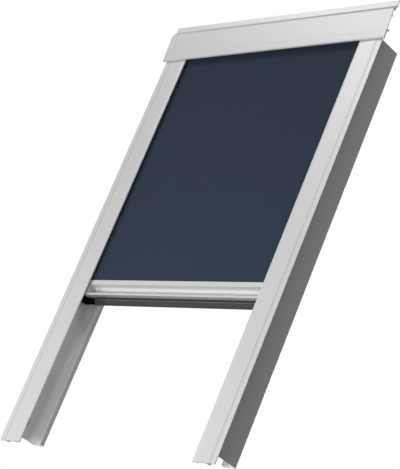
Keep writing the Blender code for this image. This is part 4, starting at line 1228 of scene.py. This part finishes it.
def cloth_roll(thickness):
    """The cloth wound on the roller, one spiral sheet whose outer end meets the hanging cloth."""
    low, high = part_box("fabric_winding")
    axis = (low + high) / 2
    outer = (high.z - low.z) / 2
    tube_low, tube_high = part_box("roller_tube")
    inner = (tube_high.z - tube_low.z) / 2 + TURN_PITCH
    turns = (outer - inner) / TURN_PITCH - TURNS_OPEN
    steps = int(turns * TURN_STEPS)
    width = high.x - low.x
    columns = [low.x + width * share / ROLL_COLUMNS for share in range(ROLL_COLUMNS + 1)]
    work = bmesh.new()
    grids = []
    for depth in (0.0, thickness):
        rows = []
        for step in range(steps + 1):
            angle = math.pi + 2 * math.pi * turns * step / steps
            radius = outer - TURN_PITCH * turns * step / steps - depth
            y = axis.y + radius * math.cos(angle)
            z = axis.z + radius * math.sin(angle)
            rows.append([work.verts.new((x, y, z)) for x in columns])
        grids.append(rows)
    for finish, grid in enumerate(grids):
        for row in range(steps):
            for column in range(ROLL_COLUMNS):
                cell_face(work, grid, row, column, finish).smooth = True
    for row in range(steps):
        for column in (0, ROLL_COLUMNS):
            edge_face(work, grids, (row, column), (row + 1, column))
    for column in range(ROLL_COLUMNS):
        for row in (0, steps):
            edge_face(work, grids, (row, column), (row, column + 1))
    piece = cloth_piece("cloth_roll", work)
    piece.data.set_sharp_from_angle(angle=SHARP_ANGLE)
    place(piece, "roller", "blackout_fabric", "fabric_winding")


# Stage


def add_camera():
    data = bpy.data.cameras.new("camera")
    data.lens = CAMERA_LENS
    data.sensor_width = SENSOR_WIDTH
    data.clip_start, data.clip_end = CAMERA_CLIP
    camera = bpy.data.objects.new("camera", data)
    columns = (CAMERA_RIGHT, CAMERA_UP, CAMERA_BACK)
    turn = Matrix(columns).transposed().to_4x4()
    camera.matrix_world = Matrix.Translation(CAMERA_PLACE) @ turn
    bpy.context.scene.collection.objects.link(camera)
    bpy.context.scene.camera = camera


def add_softbox(name, spot, aim, width, height, power):
    data = bpy.data.lights.new(name, "AREA")
    data.shape = "RECTANGLE"
    data.size = width
    data.size_y = height
    data.energy = power
    light = bpy.data.objects.new(name, data)
    light.location = spot
    direction = Vector(aim) - Vector(spot)
    light.rotation_mode = "QUATERNION"
    light.rotation_quaternion = direction.to_track_quat("-Z", "Y")
    bpy.context.scene.collection.objects.link(light)


def seen_directly(wiring):
    """1 for what the camera sees, straight or in a gloss or a glass, and 0 for other light."""
    rays = wiring.add("ShaderNodeLightPath").outputs
    seen = wiring.maths("MAXIMUM", rays["Is Camera Ray"], rays["Is Glossy Ray"])
    return wiring.maths("MAXIMUM", seen, rays["Is Transmission Ray"])


def add_floor(height):
    """A pale floor whose underside is see-through, so that it never hides the blind."""
    made = bpy.data.materials.new("pale_floor")
    made.use_nodes = True
    wiring = Wiring(made.node_tree)
    shader = made.node_tree.nodes["Principled BSDF"]
    place_on_floor = wiring.add("ShaderNodeTexCoord").outputs["Object"]
    mottle = wiring.noise(place_on_floor, scale=3.0)
    tone = wiring.spread(mottle, 0.3, 0.7, FLOOR_TONES[0], FLOOR_TONES[1])
    white = wiring.add("ShaderNodeCombineColor", {0: tone, 1: tone, 2: tone}).outputs[0]
    wiring.feed(shader.inputs["Base Color"], white)
    shader.inputs["Roughness"].default_value = FLOOR_ROUGHNESS
    pale = wiring.add("ShaderNodeEmission", {"Color": white, "Strength": 1.0}).outputs[0]
    share = wiring.spread(seen_directly(wiring), 0.0, 1.0, 0.0, FLOOR_PALENESS)
    top = wiring.add("ShaderNodeMixShader", {0: share, 1: shader.outputs[0], 2: pale}).outputs[0]
    clear = wiring.add("ShaderNodeBsdfTransparent").outputs[0]
    beneath = wiring.add("ShaderNodeNewGeometry").outputs["Backfacing"]
    mixed = wiring.add("ShaderNodeMixShader", {0: beneath, 1: top, 2: clear})
    output = made.node_tree.nodes["Material Output"]
    wiring.feed(output.inputs["Surface"], mixed.outputs[0])
    work = bmesh.new()
    bmesh.ops.create_grid(work, x_segments=4, y_segments=4, size=FLOOR_REACH)
    bmesh.ops.translate(work, verts=work.verts, vec=(0.0, 0.0, height))
    mesh = bpy.data.meshes.new("floor")
    work.to_mesh(mesh)
    work.free()
    mesh.materials.append(made)
    floor = bpy.data.objects.new("floor", mesh)
    bpy.context.scene.collection.objects.link(floor)


def set_world(ambient):
    """White where the camera, a gloss or a glass looks, and dimmer as a light."""
    world = bpy.data.worlds.new("studio")
    bpy.context.scene.world = world
    world.use_nodes = True
    wiring = Wiring(world.node_tree)
    background = world.node_tree.nodes["Background"]
    background.inputs["Color"].default_value = (1.0, 1.0, 1.0, 1.0)
    strength = wiring.spread(seen_directly(wiring), 0.0, 1.0, ambient, 1.0)
    wiring.feed(background.inputs["Strength"], strength)


# Operators


class BLIND_OT_rails(bpy.types.Operator):
    """Finish the two side rails and the fittings in their ends"""

    bl_idname = "blind.rails"
    bl_label = "Side rails"

    def execute(self, context):
        dress_pair(RAIL_PIECES)
        return {"FINISHED"}


class BLIND_OT_headrail(bpy.types.Operator):
    """Finish the headrail's cover, casing, brackets and mounting plates"""

    bl_idname = "blind.headrail"
    bl_label = "Headrail"

    def execute(self, context):
        for row in HEADRAIL_PIECES:
            dress(*row)
        return {"FINISHED"}


class BLIND_OT_roller(bpy.types.Operator):
    """Finish the roller's tube, plugs, bushes, pin and spring arbor"""

    bl_idname = "blind.roller"
    bl_label = "Roller"

    def execute(self, context):
        for row in ROLLER_PIECES:
            dress(*row)
        return {"FINISHED"}


class BLIND_OT_spring(bpy.types.Operator):
    """Wind the torsion spring round the arbor"""

    bl_idname = "blind.spring"
    bl_label = "Torsion spring"

    def execute(self, context):
        torsion_spring(context.scene.blind_sizes.spring_turns)
        return {"FINISHED"}


class BLIND_OT_bottom_bar(bpy.types.Operator):
    """Finish the bottom bar, its seal and the fittings in its ends"""

    bl_idname = "blind.bottom_bar"
    bl_label = "Bottom bar"

    def execute(self, context):
        for row in BAR_PIECES:
            dress(*row)
        dress_pair(BAR_END_PIECES)
        return {"FINISHED"}


class BLIND_OT_brushes(bpy.types.Operator):
    """Stand the pile on the rails' brush seals and on the friction pads"""

    bl_idname = "blind.brushes"
    bl_label = "Brushes"

    def execute(self, context):
        for number, side in enumerate(SIDES):
            seal_brush(side, SEAL_SEED + number)
        for number, side in enumerate(SIDES):
            pad_brush(side, PAD_SEED + number)
        return {"FINISHED"}


class BLIND_OT_screws(bpy.types.Operator):
    """Put the screws in the headrail, the rails and the bar's ends"""

    bl_idname = "blind.screws"
    bl_label = "Screws"

    def execute(self, context):
        screws("fixed_screws", ROOT_SCREWS, "root")
        screws("bar_screws", BAR_SCREWS, "bar")
        return {"FINISHED"}


class BLIND_OT_cloth(bpy.types.Operator):
    """Wind the cloth on the roller and hang it down to the bar"""

    bl_idname = "blind.cloth"
    bl_label = "Cloth"

    def execute(self, context):
        cloth_roll(context.scene.blind_sizes.cloth_thickness)
        cloth_sheet()
        return {"FINISHED"}


class BLIND_OT_stage(bpy.types.Operator):
    """Set the camera, the floor, the softboxes and the white surroundings"""

    bl_idname = "blind.stage"
    bl_label = "Stage"

    def execute(self, context):
        stage = context.scene.blind_stage
        add_camera()
        add_floor(stage.floor_height)
        for row in SOFTBOXES:
            add_softbox(*row)
        set_world(stage.ambient)
        context.scene.view_settings.view_transform = "Standard"
        return {"FINISHED"}


class BLIND_PT_sidebar(bpy.types.Panel):
    """Lists the blind's operators and settings"""

    bl_idname = "BLIND_PT_sidebar"
    bl_label = "Roof Window Blind"
    bl_space_type = "VIEW_3D"
    bl_region_type = "UI"
    bl_category = "Blind"

    def draw(self, context):
        for operator in OPERATORS:
            self.layout.operator(operator.bl_idname)
        for group, kind in SETTINGS:
            box = self.layout.box()
            for name in kind.__annotations__:
                box.prop(getattr(context.scene, group), name)


OPERATORS = (
    BLIND_OT_rails,
    BLIND_OT_headrail,
    BLIND_OT_roller,
    BLIND_OT_spring,
    BLIND_OT_bottom_bar,
    BLIND_OT_brushes,
    BLIND_OT_screws,
    BLIND_OT_cloth,
    BLIND_OT_stage,
)
SETTINGS = (
    ("blind_colours", BlindColours),
    ("blind_sizes", BlindSizes),
    ("blind_stage", BlindStage),
)


def register():
    for name, settings in SETTINGS:
        bpy.utils.register_class(settings)
        setattr(bpy.types.Scene, name, PointerProperty(type=settings))
    for operator in OPERATORS:
        bpy.utils.register_class(operator)
    bpy.utils.register_class(BLIND_PT_sidebar)


def unregister():
    bpy.utils.unregister_class(BLIND_PT_sidebar)
    for operator in reversed(OPERATORS):
        bpy.utils.unregister_class(operator)
    for name, settings in reversed(SETTINGS):
        delattr(bpy.types.Scene, name)
        bpy.utils.unregister_class(settings)


def clear_startup():
    for name in ("Cube", "Light", "Camera"):
        if name in bpy.data.objects:
            bpy.data.objects.remove(bpy.data.objects[name])


def main():
    register()
    clear_startup()
    for operator in OPERATORS:
        group, name = operator.bl_idname.split(".")
        getattr(getattr(bpy.ops, group), name)()


if __name__ == "__main__":
    main()
